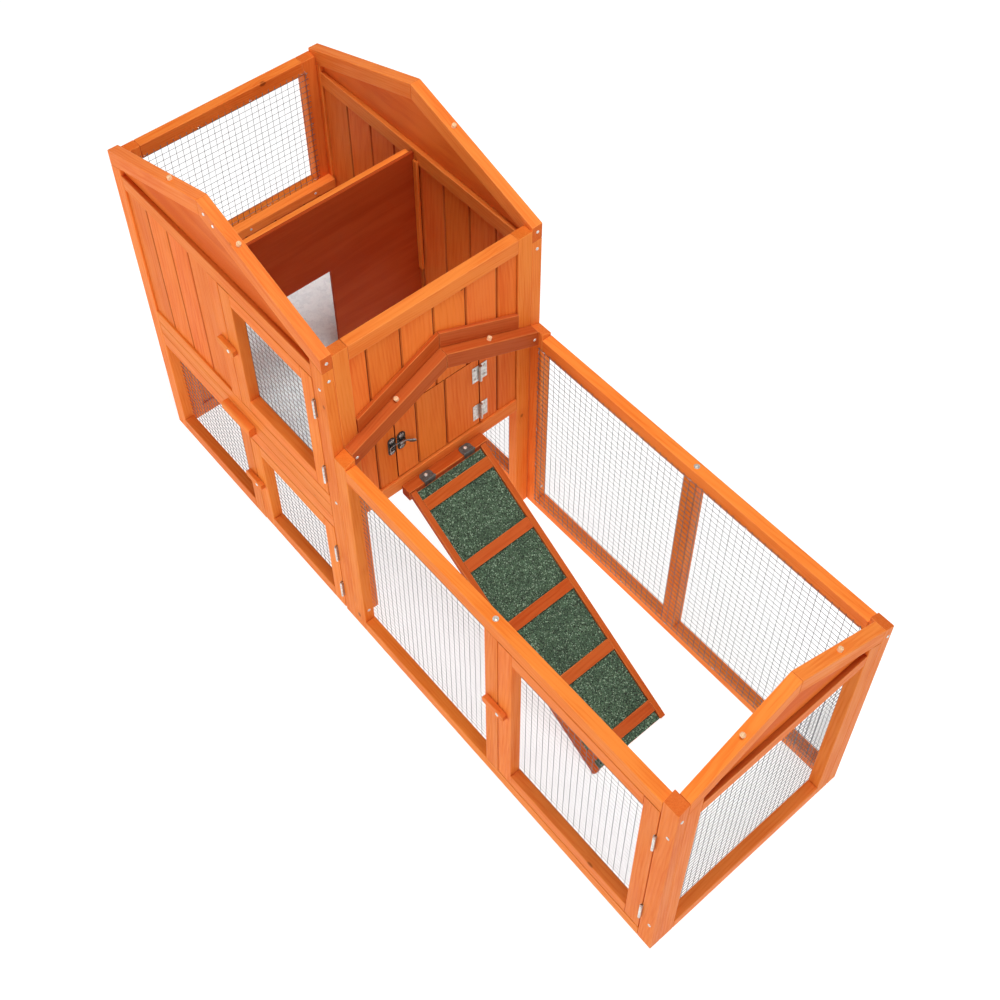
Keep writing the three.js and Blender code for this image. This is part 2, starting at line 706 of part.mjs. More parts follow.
// ---------------------------------------------------------------- the whole
const assembly = grouped(
  houseFront(),
  houseBack(),
  houseLeft(),
  houseRight(),
  drawer(),
  runners(),
  named("divider", divider(), makePly()),
  named("divider_guide_front", dividerGuide(STICK, 1, [DIVIDER.doorZ + 7, GUIDE.z[1]]), makeStick()),
  named("divider_guide_back", dividerGuide(DEPTH - STICK, -1, GUIDE.z), makeStick()),
  wireDoor("upper_door", UPPER_DOOR),
  wireDoor("lower_door", LOWER_DOOR),
  wireDoor("run_door", RUN_DOOR),
  doorHinge("upper_door_hinge_top", UPPER_DOOR.x[1], 578),
  doorHinge("upper_door_hinge_bottom", UPPER_DOOR.x[1], 410),
  doorHinge("lower_door_hinge_top", LOWER_DOOR.x[1], 181),
  doorHinge("lower_door_hinge_bottom", LOWER_DOOR.x[1], 67),
  doorHinge("run_door_hinge_top", RUN_DOOR.x[1], 354),
  doorHinge("run_door_hinge_bottom", RUN_DOOR.x[1], 102),
  turnButton("upper_door_button", UPPER_DOOR.x[0], 500),
  turnButton("lower_door_button", LOWER_DOOR.x[0], 128),
  turnButton("run_door_button", RUN_DOOR.x[0], 252),
  popDoor(),
  hookLatch(),
  runFront(),
  runBack(),
  runEnd(),
  ramp(),
);

assembly.position.set(-LENGTH / 2, (HANDLE.proud - DEPTH) / 2, 0);
const hutch = grouped(assembly);
hutch.name = "rabbit_hutch";

export default hutch;
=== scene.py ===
"""The rabbit hutch's looks: every stick, board, wire, hinge and screw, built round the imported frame.

Shapes are made in millimetres in the panels' own corner coordinates: x from the left end of the house,
y from the front face, z from the ground. Each one is then scaled and moved into the frame's metres.
"""

import functools
import json
import math
import random

import bmesh
import bpy
from mathutils import Matrix, Vector


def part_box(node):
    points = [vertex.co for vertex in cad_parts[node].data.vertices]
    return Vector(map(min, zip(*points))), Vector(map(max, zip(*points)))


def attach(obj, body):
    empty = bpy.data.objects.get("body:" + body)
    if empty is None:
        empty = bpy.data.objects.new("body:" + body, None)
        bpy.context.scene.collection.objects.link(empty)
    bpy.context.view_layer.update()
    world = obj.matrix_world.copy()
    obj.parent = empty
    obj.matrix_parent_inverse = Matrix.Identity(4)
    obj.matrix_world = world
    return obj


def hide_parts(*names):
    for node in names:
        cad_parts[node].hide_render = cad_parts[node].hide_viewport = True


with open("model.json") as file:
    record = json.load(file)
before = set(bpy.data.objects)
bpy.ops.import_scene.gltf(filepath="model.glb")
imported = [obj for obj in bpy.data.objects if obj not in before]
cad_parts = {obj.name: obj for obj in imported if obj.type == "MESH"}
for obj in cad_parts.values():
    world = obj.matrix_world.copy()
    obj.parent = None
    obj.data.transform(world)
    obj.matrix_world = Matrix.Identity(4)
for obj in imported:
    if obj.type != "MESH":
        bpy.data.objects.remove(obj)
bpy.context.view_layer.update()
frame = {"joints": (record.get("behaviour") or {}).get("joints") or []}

# ---------------------------------------------------------------- sizes, in millimetres
MM = 0.001
CORNER = Vector((*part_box("house_front_frame")[0].xy, 0.0))

LENGTH, DEPTH = 1318, 420
HOUSE_LENGTH, HOUSE_EAVE, HOUSE_APEX = 585, 716, 817
RUN_EAVE, RUN_APEX = 485, 585
STICK = 20  # thickness of every frame stick
STILE, END_STILE = 30, 28  # face widths of the front and end panels' uprights
GAP = 0.3
RAFTER = 30
SILL_TOP = 30
LOWER_HEAD = (258, 290)
UPPER_FLOOR = (290, 320)  # the rail under the upper storey, at the back and the right end
SLOT_TOP = 322
DOOR_SILL_TOP = 350
WALL_HEAD = (650, 680)
MIDDLE_STILE = (274, 303)
RUN_START = HOUSE_LENGTH + GAP
RUN_POST = 28
RUN_RAIL = (450, 480)
RUN_FOOT = 28
RUN_MIDDLE = (938, 966)
END_RAIL, END_FOOT = (428, 456), 25
END_HEAD, END_TOP = 680, 710  # the right end's top rail
LEFT_SILL = (405, 435)
POP_DOORWAY = ((117, 293.5), 493)

FRONT_STICKS, BACK_STICKS = (0, STICK), (DEPTH - STICK, DEPTH)
FRONT_BOARDS, BACK_BOARDS = (4, 16), (DEPTH - 16, DEPTH - 4)
RIGHT_BOARDS = (HOUSE_LENGTH - 16, HOUSE_LENGTH - 4)
BETWEEN = (STICK + GAP, DEPTH - STICK - GAP)  # the end panels, front to back
INSIDE = (STICK + END_STILE, DEPTH - STICK - END_STILE)  # between an end panel's stiles
END_STILES = ((BETWEEN[0], INSIDE[0]), (INSIDE[1], BETWEEN[1]))

ARRIS = 1.3  # rounding of a stick's long edges
BOARD_ARRIS = 0.35
CHAMFER = 1.8  # V-groove flanks of the boards
TONGUE_REACH, TONGUE_THICK = 1.6, 4
BOARD_GAP_SHADE = 0.85  # how much painted shade darkens a board's edge and its tongue, in the gap between boards
BOARD_SHRINKAGE = 0.5  # how far each board has drawn back from its joint
WIRE_RADIUS = 0.42
WIRE_PITCH = 12.7
SCREW_RADIUS = 2.9
DOWEL_RADIUS, DOWEL_STANDS = 3.8, 6.5

rng = random.Random(20)  # grain offsets, tones and the small unevenness of wires and staples


# ---------------------------------------------------------------- outlines
def rectangle(first, second):
    (a0, a1), (b0, b1) = first, second
    return [(a0, b0), (a1, b0), (a1, b1), (a0, b1)]


def inset(span, by):
    return (span[0] + by, span[1] - by)


def gable_line(span, eave, apex):
    """The height of a gable's top edge at a place along it."""
    return lambda place: eave + (apex - eave) * (1 - abs(place - span / 2) / (span / 2))


def plumb_depth(span, eave, apex):
    """A rafter's depth measured straight down."""
    return RAFTER * math.hypot(1, (apex - eave) / (span / 2))


house_top = gable_line(HOUSE_LENGTH, HOUSE_EAVE, HOUSE_APEX)
run_top = gable_line(DEPTH, RUN_EAVE, RUN_APEX)
HOUSE_RAFTER = plumb_depth(HOUSE_LENGTH, HOUSE_EAVE, HOUSE_APEX)
RUN_RAFTER = plumb_depth(DEPTH, RUN_EAVE, RUN_APEX)


def post_under(line, span, drop):
    """A post from the ground to a little under a gable's edge."""
    a0, a1 = span
    return [(a0, 0), (a1, 0), (a1, line(a1) - drop), (a0, line(a0) - drop)]


def sloping_band(line, span, upper, lower):
    """One side of a gable between two depths below its top edge, cut plumb at both ends."""
    a0, a1 = span
    return [(a0, line(a0) - lower), (a1, line(a1) - lower), (a1, line(a1) - upper), (a0, line(a0) - upper)]


def gable_fill(line, span, base, drop):
    """The plywood that fills a gable above a rail."""
    a0, a1 = span
    middle = (a0 + a1) / 2
    tops = [(place, line(place) - drop) for place in (a1, middle, a0)]
    return [(a0, base), (a1, base), *tops]


def arc(centre, radius, start, end, steps=8):
    """Points along an arc between two angles in degrees."""
    turns = [math.radians(start + (end - start) * i / steps) for i in range(steps + 1)]
    return [(centre[0] + radius * math.cos(t), centre[1] + radius * math.sin(t)) for t in turns]


def round_ended(first, second, radius, start):
    """An outline with a half circle about each of two centres, the first one from the angle start."""
    return [*arc(first, radius, start, start + 180, 12), *arc(second, radius, start + 180, start + 360, 12)]


# ---------------------------------------------------------------- solids
AXES = {"x": Vector((1, 0, 0)), "y": Vector((0, 1, 0)), "z": Vector((0, 0, 1))}


def lift(axis, a, b, c):
    """The point at a and b on the other two axes, in order, and at c along axis."""
    return {"x": Vector((c, a, b)), "y": Vector((a, c, b)), "z": Vector((a, b, c))}[axis]


def prism(axis, outline, span):
    """A closed solid of an outline drawn out along one axis."""
    return loft([[lift(axis, a, b, c) for a, b in outline] for c in span])


def circle(radius, sides):
    turns = [2 * math.pi * (i + 0.5) / sides for i in range(sides)]
    return [(radius * math.cos(t), radius * math.sin(t)) for t in turns]


def soften(shape, width, segments=2, edges=None, worn=True):
    """Rounds edges, and marks the new faces as arrises if they show wear: on timber, lighter for rubbed
    stain and a painted highlight.
    """
    mark = shape.faces.layers.int.get("arris") or shape.faces.layers.int.new("arris")
    chosen = edges if edges is not None else list(shape.edges)
    made = bmesh.ops.bevel(
        shape, geom=chosen, offset=width, segments=segments, profile=0.6, affect="EDGES", clamp_overlap=True
    )
    for face in made["faces"]:
        face[mark] = int(worn)
    return shape


def lathe(profile, sides=24):
    """A solid turned about +Z from (radius, height) pairs."""
    return loft([[(x, y, height) for x, y in circle(radius, sides)] for radius, height in profile])


def headings(points):
    """The way a line of points runs at each of them."""
    return [ahead - behind for behind, ahead in zip([points[0], *points], [*points[1:], points[-1]])]


def bridge(shape, rings):
    for low, high in zip(rings, rings[1:]):
        for i in range(len(low)):
            j = (i + 1) % len(low)
            shape.faces.new((low[i], low[j], high[j], high[i]))


def loft(rings):
    """A closed solid through rings of points, with a flat face at each end."""
    shape = bmesh.new()
    rings = [[shape.verts.new(point) for point in ring] for ring in rings]
    bridge(shape, rings)
    shape.faces.new(rings[0])
    shape.faces.new(rings[-1])
    bmesh.ops.recalc_face_normals(shape, faces=shape.faces)
    return shape


def tube(points, radius, sides=6):
    """A round rod along a line of points."""
    rings = []
    for point, heading in zip(points, headings(points)):
        turn = heading.to_track_quat("Z", "Y")
        rings.append([point + turn @ Vector((x, y, 0)) for x, y in circle(radius, sides)])
    return loft(rings)


def facing(point, normal):
    """Turns something built on +Z to stand on a surface."""
    return Matrix.Translation(point) @ Vector(normal).to_track_quat("Z", "Y").to_matrix().to_4x4()


def placed(name, data):
    """A new object in the scene."""
    item = bpy.data.objects.new(name, data)
    bpy.context.scene.collection.objects.link(item)
    return item


class Piece:
    """Solids gathered into one object. Every vertex keeps its place in its own stick, for the grain."""

    def __init__(self, name):
        self.name = name
        self.points, self.grain, self.tone = [], [], []
        self.faces, self.smooth, self.ends, self.arrises, self.painted_shade = [], [], [], [], []

    def add(self, shape, along="x", flat=None, place=None, smooth=False, painted_shade=None):
        """Takes a solid. along is the grain's direction, or for a sheet flat is the axis across it.
        The last argument, a function of a face, gives the painted shade on it, from 0 for none to 1."""
        direction = (AXES[along] if isinstance(along, str) else Vector(along)).normalized()
        side = direction.cross(AXES["z"] if abs(direction.z) < 0.9 else AXES["y"]).normalized()
        other = direction.cross(side)
        corner = Vector((rng.uniform(0, 40), rng.uniform(-0.16, 0.16), rng.uniform(0.03, 0.14)))
        tone = Vector((rng.random(), rng.random(), rng.random()))
        place = place or Matrix.Identity(4)
        centre = sum((v.co for v in shape.verts), Vector()) / len(shape.verts)
        start = len(self.points)
        shape.verts.ensure_lookup_table()
        shape.normal_update()
        for vert in shape.verts:
            local = vert.co - centre
            self.points.append(CORNER + (place @ vert.co) * MM)
            self.grain.append(corner + MM * Vector(axis.dot(local) for axis in (direction, side, other)))
            self.tone.append(tone)
        mark = shape.faces.layers.int.get("arris")
        for face in shape.faces:
            arris = bool(mark and face[mark])
            if flat:
                cut = abs(face.normal.dot(AXES[flat])) < 0.6
            else:
                cut = abs(face.normal.dot(direction)) > 0.8
            self.faces.append([start + vert.index for vert in face.verts])
            self.smooth.append(smooth or arris)
            self.ends.append(float(cut))
            self.arrises.append(float(arris))
            self.painted_shade.append(painted_shade(face) if painted_shade else 0.0)
        shape.free()

    def stick(self, axis, outline, span, along, arris=ARRIS, painted_shade=None):
        self.add(soften(prism(axis, outline, span), arris), along, painted_shade=painted_shade)

    def bar(self, x, y, z, arris=ARRIS, place=None, painted_shade=None):
        """A square stick that fills three spans, its grain along the longest."""
        spans = {"x": x, "y": y, "z": z}
        along = max(spans, key=lambda axis: spans[axis][1] - spans[axis][0])
        self.add(soften(prism("z", rectangle(x, y), z), arris), along, place=place, painted_shade=painted_shade)

    def sheet(self, axis, outline, span, along, arris=0.3):
        """Plywood whose faces look along axis."""
        self.add(soften(prism(axis, outline, span), arris, 1), along, axis)

    def leaf(self, x, y, z, arris=0.2, along="x"):
        """A hinge's thin plate, drawn out along X."""
        self.add(soften(prism("x", rectangle(y, z), x), arris, 1), along)

    def made(self, finish, *replaced, body="hutch"):
        """Makes the object, riding on its body in place of the CAD nodes that it stands for."""
        slot, material = finish
        mesh = bpy.data.meshes.new(self.name)
        mesh.from_pydata(self.points, [], self.faces)
        mesh.polygons.foreach_set("use_smooth", self.smooth)
        for name, values in (("grain", self.grain), ("tone", self.tone)):
            layer = mesh.attributes.new(name, "FLOAT_VECTOR", "POINT")
            layer.data.foreach_set("vector", [number for value in values for number in value])
        for name, values in (("end", self.ends), ("arris", self.arrises), ("painted_shade", self.painted_shade)):
            layer = mesh.attributes.new(name, "FLOAT", "FACE")
            layer.data.foreach_set("value", values)
        mesh.materials.append(material)
        mesh.update()
        item = placed(self.name, mesh)
        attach(item, body)
        if replaced:
            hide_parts(*replaced)


# ---------------------------------------------------------------- node materials
def colour(red, green, blue):
    """A display colour, 0 to 255 a channel, as the linear one that a shader takes."""
    channels = [channel / 255 for channel in (red, green, blue)]
    return (*(c / 12.92 if c <= 0.04 else ((c + 0.055) / 1.055) ** 2.4 for c in channels), 1.0)


class Recipe:
    """A material's node tree, with one short call per node."""

    def __init__(self, name):
        self.material = bpy.data.materials.new(name)
        self.material.use_nodes = True
        self.tree = self.material.node_tree
        self.tree.nodes.clear()
        self.shader = self.node("BsdfPrincipled")
        output = self.node("OutputMaterial")
        self.tree.links.new(self.shader.outputs[0], output.inputs["Surface"])

    def node(self, kind, settings=None, **sockets):
        made = self.tree.nodes.new("ShaderNode" + kind)
        for key, value in (settings or {}).items():
            setattr(made, key, value)
        for key, value in sockets.items():
            self.feed(made.inputs[key.replace("_", " ")], value)
        return made

    def feed(self, socket, value):
        if isinstance(value, bpy.types.NodeSocket):
            self.tree.links.new(value, socket)
        else:
            socket.default_value = value

    def math(self, operation, first, second=0.0, kind="Math"):
        made = self.node(kind, {"operation": operation})
        self.feed(made.inputs[0], first)
        self.feed(made.inputs[1], second)
        return made.outputs["Value" if operation == "LENGTH" else 0]

    def plus(self, *values):
        return functools.reduce(lambda total, value: self.math("ADD", total, value), values)

    def times(self, *values):
        return functools.reduce(lambda total, value: self.math("MULTIPLY", total, value), values)

    def vector(self, operation, first, second=(0, 0, 0)):
        return self.math(operation, first, second, "VectorMath")

    def attribute(self, name, output="Fac"):
        return self.node("Attribute", {"attribute_name": name}).outputs[output]

    def noise(self, place, scale, detail=3.0, roughness=0.55, output="Fac"):
        place = self.vector("MULTIPLY", place, scale)
        made = self.node("TexNoise", Vector=place, Scale=1.0, Detail=detail, Roughness=roughness)
        return made.outputs[output]

    def warp(self, place, scale, detail, reach):
        """place pushed about by coloured noise, as far as reach says along each axis."""
        push = self.vector("MULTIPLY", self.noise(place, scale, detail, output="Color"), reach)
        return self.vector("ADD", place, push)

    def cells(self, place, scale):
        return self.node("TexVoronoi", Vector=self.vector("MULTIPLY", place, scale), Scale=1.0).outputs

    def parts(self, value, kind="Color"):
        """The three channels of a colour, or of a vector where kind is XYZ."""
        made = self.node("Separate" + kind)
        self.feed(made.inputs[0], value)
        return made.outputs

    def spread(self, value, low, high, to_low=0.0, to_high=1.0):
        """value's stretch from low to high, as to_low to to_high, smoothly and clamped."""
        sockets = {"Value": value, "From_Min": low, "From_Max": high, "To_Min": to_low, "To_Max": to_high}
        return self.node("MapRange", {"interpolation_type": "SMOOTHSTEP"}, **sockets).outputs[0]

    def layered(self, base, *layers):
        """base under (share, colour) layers, each over the ones before it."""
        for share, top in layers:
            made = self.node("Mix", {"data_type": "RGBA"})
            for socket, value in ((0, share), (6, base), (7, top)):
                self.feed(made.inputs[socket], value)
            base = made.outputs[2]
        return base

    def bump(self, height, distance):
        made = self.node("Bump", Height=height, Distance=distance, Strength=1.0)
        self.feed(self.shader.inputs["Normal"], made.outputs[0])

    def finish(self, **sockets):
        for key, value in sockets.items():
            self.feed(self.shader.inputs[key.replace("_", " ")], value)
        return self.material


def timber(name, pale, mid, deep, ring_pitch=0.0042, lean=0.035):
    """Stained softwood: rings about a leaning pith, fibre streaks, sparse knots, thirsty end grain."""
    wood = Recipe(name)
    grain = wood.attribute("grain", "Vector")
    leaning = wood.node("Mapping", Vector=grain, Rotation=(0.0, lean, lean * 0.6)).outputs[0]
    warped = wood.warp(leaning, (6, 22, 22), 2.0, (0.0, 0.010, 0.010))
    knot_distance = wood.cells(grain, (7.5, 12, 12))["Distance"]
    knot = wood.spread(knot_distance, 0.062, 0.034)
    near_knot = wood.spread(knot_distance, 0.22, 0.04)
    radius = wood.vector("LENGTH", wood.vector("MULTIPLY", warped, (0, 1, 1)))
    swirled = wood.plus(radius, wood.times(near_knot, 0.004))
    phase = wood.math("FRACT", wood.times(swirled, 1 / ring_pitch))
    late_wood = wood.times(wood.spread(phase, 0.25, 0.86), wood.spread(phase, 1.0, 0.9))
    fibres = wood.noise(grain, (26, 1500, 1500), 3.0, 0.6)
    streaks = wood.noise(grain, (7, 230, 230), 3.0, 0.6)
    clouds = wood.noise(grain, (7, 34, 34), 3.0, 0.5)
    pores = wood.noise(grain, (900, 1300, 1300), 2.0, 0.6)
    ends = wood.attribute("end")
    shade = wood.plus(
        wood.times(late_wood, 0.18),
        wood.spread(streaks, 0.35, 0.75, 0.0, 0.30),
        wood.spread(clouds, 0.3, 0.75, -0.08, 0.26),
        wood.spread(fibres, 0.3, 0.8, -0.08, 0.16),
    )
    base = wood.layered(
        pale,
        (wood.spread(shade, 0.0, 0.62), mid),
        (wood.spread(shade, 0.6, 1.25), deep),
        (wood.times(near_knot, 0.18), deep),
        (wood.times(knot, 0.6), KNOT_BROWN),
        # lighter arrises: rubbed stain, and a painted highlight along the rounded edges
        (wood.times(wood.attribute("arris"), wood.spread(streaks, 0.35, 0.7, 0.08, 0.4)), RUBBED_AND_LIT_EDGE),
        (wood.times(ends, wood.spread(pores, 0.3, 0.7, 0.35, 0.75)), deep),
        # painted shade: faces in gaps and recesses drawn darker
        (wood.attribute("painted_shade"), PAINTED_SHADE_COLOUR),
    )
    tone = wood.parts(wood.attribute("tone", "Vector"), "XYZ")
    toned = wood.node(
        "HueSaturation",
        Hue=wood.spread(tone[1], 0, 1, 0.498, 0.502),
        Saturation=wood.spread(tone[2], 0, 1, 0.988, 0.996),
        Value=wood.spread(tone[0], 0, 1, 0.93, 1.03),
        Color=base,
    ).outputs[0]
    dull = wood.plus(wood.spread(streaks, 0.3, 0.7, 0.40, 0.56), wood.times(ends, 0.2))
    height = wood.plus(wood.times(fibres, 0.6), wood.times(late_wood, 0.25), wood.times(pores, ends, 0.8))
    wood.bump(wood.math("SUBTRACT", height, wood.times(knot, 0.5)), 0.00022)
    return wood.finish(Base_Color=toned, Roughness=dull, Specular_IOR_Level=0.05)


def plywood(name, pale, mid, deep, ply=0.0014):
    """Rotary-cut veneer with wide soft figure, its glued layers showing on cut edges."""
    sheet = Recipe(name)
    grain = sheet.attribute("grain", "Vector")
    warped = sheet.warp(grain, (2.2, 9, 9), 3.0, (0.0, 0.09, 0.09))
    figure = sheet.noise(warped, (1.5, 46, 46), 2.0, 0.5)
    fibres = sheet.noise(grain, (20, 1100, 1100), 3.0, 0.6)
    clouds = sheet.noise(grain, (5, 12, 12), 2.0, 0.5)
    shade = sheet.plus(
        sheet.spread(figure, 0.3, 0.72, 0.0, 0.34),
        sheet.spread(clouds, 0.3, 0.7, 0.0, 0.3),
        sheet.spread(fibres, 0.3, 0.75, -0.08, 0.18),
    )
    layer = sheet.math("FRACT", sheet.times(sheet.parts(grain, "XYZ")[1], 0.5 / ply))
    edge = sheet.layered(pale, (sheet.spread(layer, 0.45, 0.55), deep))
    base = sheet.layered(
        pale,
        (sheet.spread(shade, 0.0, 0.6), mid),
        (sheet.spread(shade, 0.55, 1.1), deep),
        (sheet.times(sheet.attribute("end"), 0.5), edge),
        # painted shade: faces in gaps and recesses drawn darker
        (sheet.attribute("painted_shade"), PAINTED_SHADE_COLOUR),
    )
    tone = sheet.parts(sheet.attribute("tone", "Vector"), "XYZ")
    value = sheet.spread(tone[0], 0, 1, 0.94, 1.04)
    toned = sheet.node("HueSaturation", Value=value, Color=base).outputs[0]
    dull = sheet.spread(clouds, 0.3, 0.7, 0.45, 0.62)
    sheet.bump(sheet.plus(fibres, sheet.times(figure, 0.5)), 0.00018)
    return sheet.finish(Base_Color=toned, Roughness=dull, Specular_IOR_Level=0.05)


def bare_wood(name):
    """Unstained dowel stock."""
    wood = Recipe(name)
    grain = wood.attribute("grain", "Vector")
    fibres = wood.noise(grain, (60, 1300, 1300))
    pores = wood.noise(grain, (700, 900, 900), 2.0)
    base = wood.layered(
        colour(255, 224, 182),
        (wood.spread(fibres, 0.3, 0.7), colour(238, 186, 134)),
        (wood.times(wood.attribute("end"), wood.spread(pores, 0.4, 0.7)), colour(206, 140, 88)),
    )
    wood.bump(fibres, 0.0002)
    return wood.finish(Base_Color=base, Roughness=wood.spread(pores, 0.3, 0.7, 0.55, 0.7))


def plated(name, light, dark, rough, metallic=1.0):
    """Plated or galvanised steel with faint blotches and drawing marks."""
    metal = Recipe(name)
    grain = metal.attribute("grain", "Vector")
    clouds = metal.noise(grain, (180, 180, 180))
    marks = metal.noise(grain, (120, 2600, 2600), 2.0)
    shade = metal.plus(metal.times(clouds, 0.6), metal.times(marks, 0.4))
    worn = metal.times(metal.attribute("arris"), metal.spread(clouds, 0.4, 0.7, 0.0, 0.5))
    base = metal.layered(light, (metal.spread(shade, 0.35, 0.65), dark), (worn, light))
    dull = metal.spread(shade, 0.3, 0.7, rough - 0.07, rough + 0.1)
    metal.bump(shade, 0.00006)
    return metal.finish(Base_Color=base, Metallic=metallic, Roughness=dull)


def galvanised_sheet(name):
    """Hot-dip spangle: angular crystals, each with its own brightness and gloss."""
    metal = Recipe(name)
    grain = metal.attribute("grain", "Vector")
    shifted = metal.warp(grain, (220, 220, 220), 2.0, (0.004, 0.004, 0.004))
    large, small = (metal.parts(metal.cells(shifted, (scale,) * 3)["Color"])[0] for scale in (105, 330))
    frost = metal.noise(grain, (900, 900, 900), 2.0)
    shade = metal.plus(metal.times(large, 0.5), metal.times(small, 0.3), metal.times(frost, 0.35))
    base = metal.layered(colour(236, 252, 255), (metal.spread(shade, 0.2, 1.0), colour(216, 233, 238)))
    metal.bump(shade, 0.00008)
    return metal.finish(Base_Color=base, Metallic=0.1, Roughness=metal.spread(shade, 0.2, 1.0, 0.38, 0.56))


def mineral_felt(name):
    """Roofing felt: crushed green slate bedded in bitumen, with a few pale and dark grains."""
    felt = Recipe(name)
    grain = felt.attribute("grain", "Vector")
    stones = felt.cells(grain, (700, 700, 700))
    chance = felt.parts(stones["Color"])
    bigger = felt.parts(felt.cells(grain, (390, 390, 390))["Color"])[0]
    patch = felt.noise(grain, (28, 28, 28))
    base = felt.layered(
        colour(24, 46, 30),
        (chance[0], colour(92, 124, 96)),
        (felt.spread(chance[1], 0.9, 0.93), colour(150, 180, 152)),
        (felt.spread(chance[2], 0.84, 0.88), colour(14, 24, 18)),
        (felt.spread(bigger, 0.965, 0.975, 0.0, 0.3), colour(150, 174, 152)),
        (felt.spread(patch, 0.35, 0.7, 0.0, 0.3), colour(30, 52, 38)),
    )
    felt.bump(felt.math("SUBTRACT", 1.0, stones["Distance"]), 0.0007)
    return felt.finish(Base_Color=base, Roughness=felt.spread(chance[0], 0.0, 1.0, 0.7, 0.95))


def lacquer(name):
    """Thick glossy black paint over pressed metal."""
    paint = Recipe(name)
    grain = paint.attribute("grain", "Vector")
    ripple = paint.noise(grain, (260, 260, 260), 2.0)
    dust = paint.noise(grain, (2400, 2400, 2400), 2.0)
    base = paint.layered(colour(52, 51, 52), (paint.spread(dust, 0.55, 0.8, 0.0, 0.5), colour(84, 82, 80)))
    dull = paint.spread(dust, 0.3, 0.8, 0.18, 0.32)
    paint.bump(ripple, 0.00025)
    return paint.finish(Base_Color=base, Metallic=0.6, Roughness=dull, Coat_Weight=1.0, Coat_Roughness=0.06)


def studio_floor(name):
    """Pale paper that glows a little, so that it stays white under the hutch."""
    floor = Recipe(name)
    paper = floor.noise(floor.node("NewGeometry").outputs["Position"], (60, 60, 60))
    base = floor.layered((0.24, 0.24, 0.24, 1), (paper, (0.26, 0.26, 0.26, 1)))
    glow = floor.layered((0.99, 0.99, 0.99, 1), (paper, (1, 1, 1, 1)))
    return floor.finish(Base_Color=base, Roughness=0.9, Emission_Color=glow, Emission_Strength=0.92)


# the second colour: rubbed stain with a painted highlight on arrises; the third: painted shade in gaps and
# recesses
KNOT_BROWN, RUBBED_AND_LIT_EDGE, PAINTED_SHADE_COLOUR = colour(96, 34, 12), colour(252, 158, 84), colour(120, 34, 6)
STICK_TONES = colour(250, 140, 56), colour(240, 118, 38), colour(206, 84, 20)
RED_TONES = colour(198, 93, 37), colour(186, 78, 25), colour(148, 53, 14)
BOARD_TONES = colour(246, 130, 48), colour(236, 110, 34), colour(198, 76, 18)
PLY_TONES = colour(238, 120, 46), colour(224, 100, 34), colour(186, 76, 22)
# the divider's plywood, a darker copy of the gable plywood that paints the shade inside the house
SHADED_DIVIDER_TONES = colour(186, 80, 34), colour(172, 66, 25), colour(140, 50, 18)
WIRE_TONES = colour(126, 130, 134), colour(90, 94, 98)
ZINC_TONES = colour(236, 236, 232), colour(190, 190, 184)
SCREW_TONES = colour(246, 244, 238), colour(214, 210, 200)
DARK_TONES = colour(180, 178, 176), colour(128, 126, 124)
GREY_TONES = colour(112, 116, 112), colour(78, 82, 80)

# finishes: the record's slot, and the material
STICK_WOOD = ("stick", timber("stained_stick", *STICK_TONES))
# a darker, redder copy of the stick wood; on the run's header and the house's roof batten it paints their
# shade
RED_STICK_WOOD = ("stick", timber("darker_redder_stick", *RED_TONES))
BOARD_WOOD = ("board", timber("stained_board", *BOARD_TONES, ring_pitch=0.0055, lean=0.05))
PLY_WOOD = ("plywood", plywood("stained_plywood", *PLY_TONES))
# a darker copy of the plywood, painting the shade that the divider stands in
SHADED_DIVIDER_PLY = ("plywood", plywood("divider_ply_painted_shade", *SHADED_DIVIDER_TONES))
DOWEL_WOOD = ("stick", bare_wood("dowel_beech"))
WIRE_STEEL = ("wire", plated("galvanised_wire", *WIRE_TONES, 0.6, metallic=0.0))
ZINC = ("zinc", plated("zinc_plate", *ZINC_TONES, 0.34))
STAPLE_ZINC = ("wire", ZINC[1])
SCREW_ZINC = ("zinc", plated("screw_zinc", *SCREW_TONES, 0.3, metallic=0.6))
GALVANISED = ("galvanised", galvanised_sheet("galvanised_tray"))
FELT = ("felt", mineral_felt("green_mineral_felt"))
BLACK_PAINT = ("black_metal", lacquer("black_paint"))
DARK_STEEL = ("black_metal", plated("polished_dark_steel", *DARK_TONES, 0.2, metallic=0.95))
GREY_STEEL = ("grey_metal", plated("dark_grey_steel", *GREY_TONES, 0.42, metallic=0.4))


# ---------------------------------------------------------------- shared parts
def joint_gap_shade(across, places):
    """Painted shade on the boards' ends and on the edges at places, in the gaps where they meet, less on a
    groove's flanks.
    """

    def amount(face):
        if abs(face.normal.z) > 0.9:
            return 0.7
        lean = abs(face.normal[across])
        centre = face.calc_center_median()[across]
        if lean < 0.3 or all(abs(centre - place) > 4 for place in places):
            return 0.0
        return BOARD_GAP_SHADE if lean > 0.95 else 0.4

    return amount


def board_outline(span, rise, doorway):
    (a0, a1), (low, high) = span, rise
    if not doorway or a1 <= doorway[0][0] or a0 >= doorway[0][1]:
        return rectangle(span, rise)
    (start, end), top = doorway
    if a0 >= start and a1 <= end:
        return rectangle(span, (top, high))
    if a0 < start:
        return [(a0, low), (start, low), (start, top), (a1, top), (a1, high), (a0, high)]
    return [(a0, top), (end, top), (end, low), (a1, low), (a1, high), (a0, high)]


def corner_box(node):
    """A CAD node's two corners in millimetres from the corner."""
    return [(end - CORNER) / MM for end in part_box(node)]


def joint_place(body):
    """Where the joint that carries a body is, in millimetres from the corner."""
    joint = next(j for j in frame["joints"] if j["child"] == body)
    return (Vector(joint["pos_m"]) - CORNER) / MM


def boxed_stick(node, name, body="hutch", material=STICK_WOOD):
    """A square stick in the place of a CAD node."""
    piece = Piece(name)
    piece.bar(*zip(*corner_box(node)))
    piece.made(material, node, body=body)


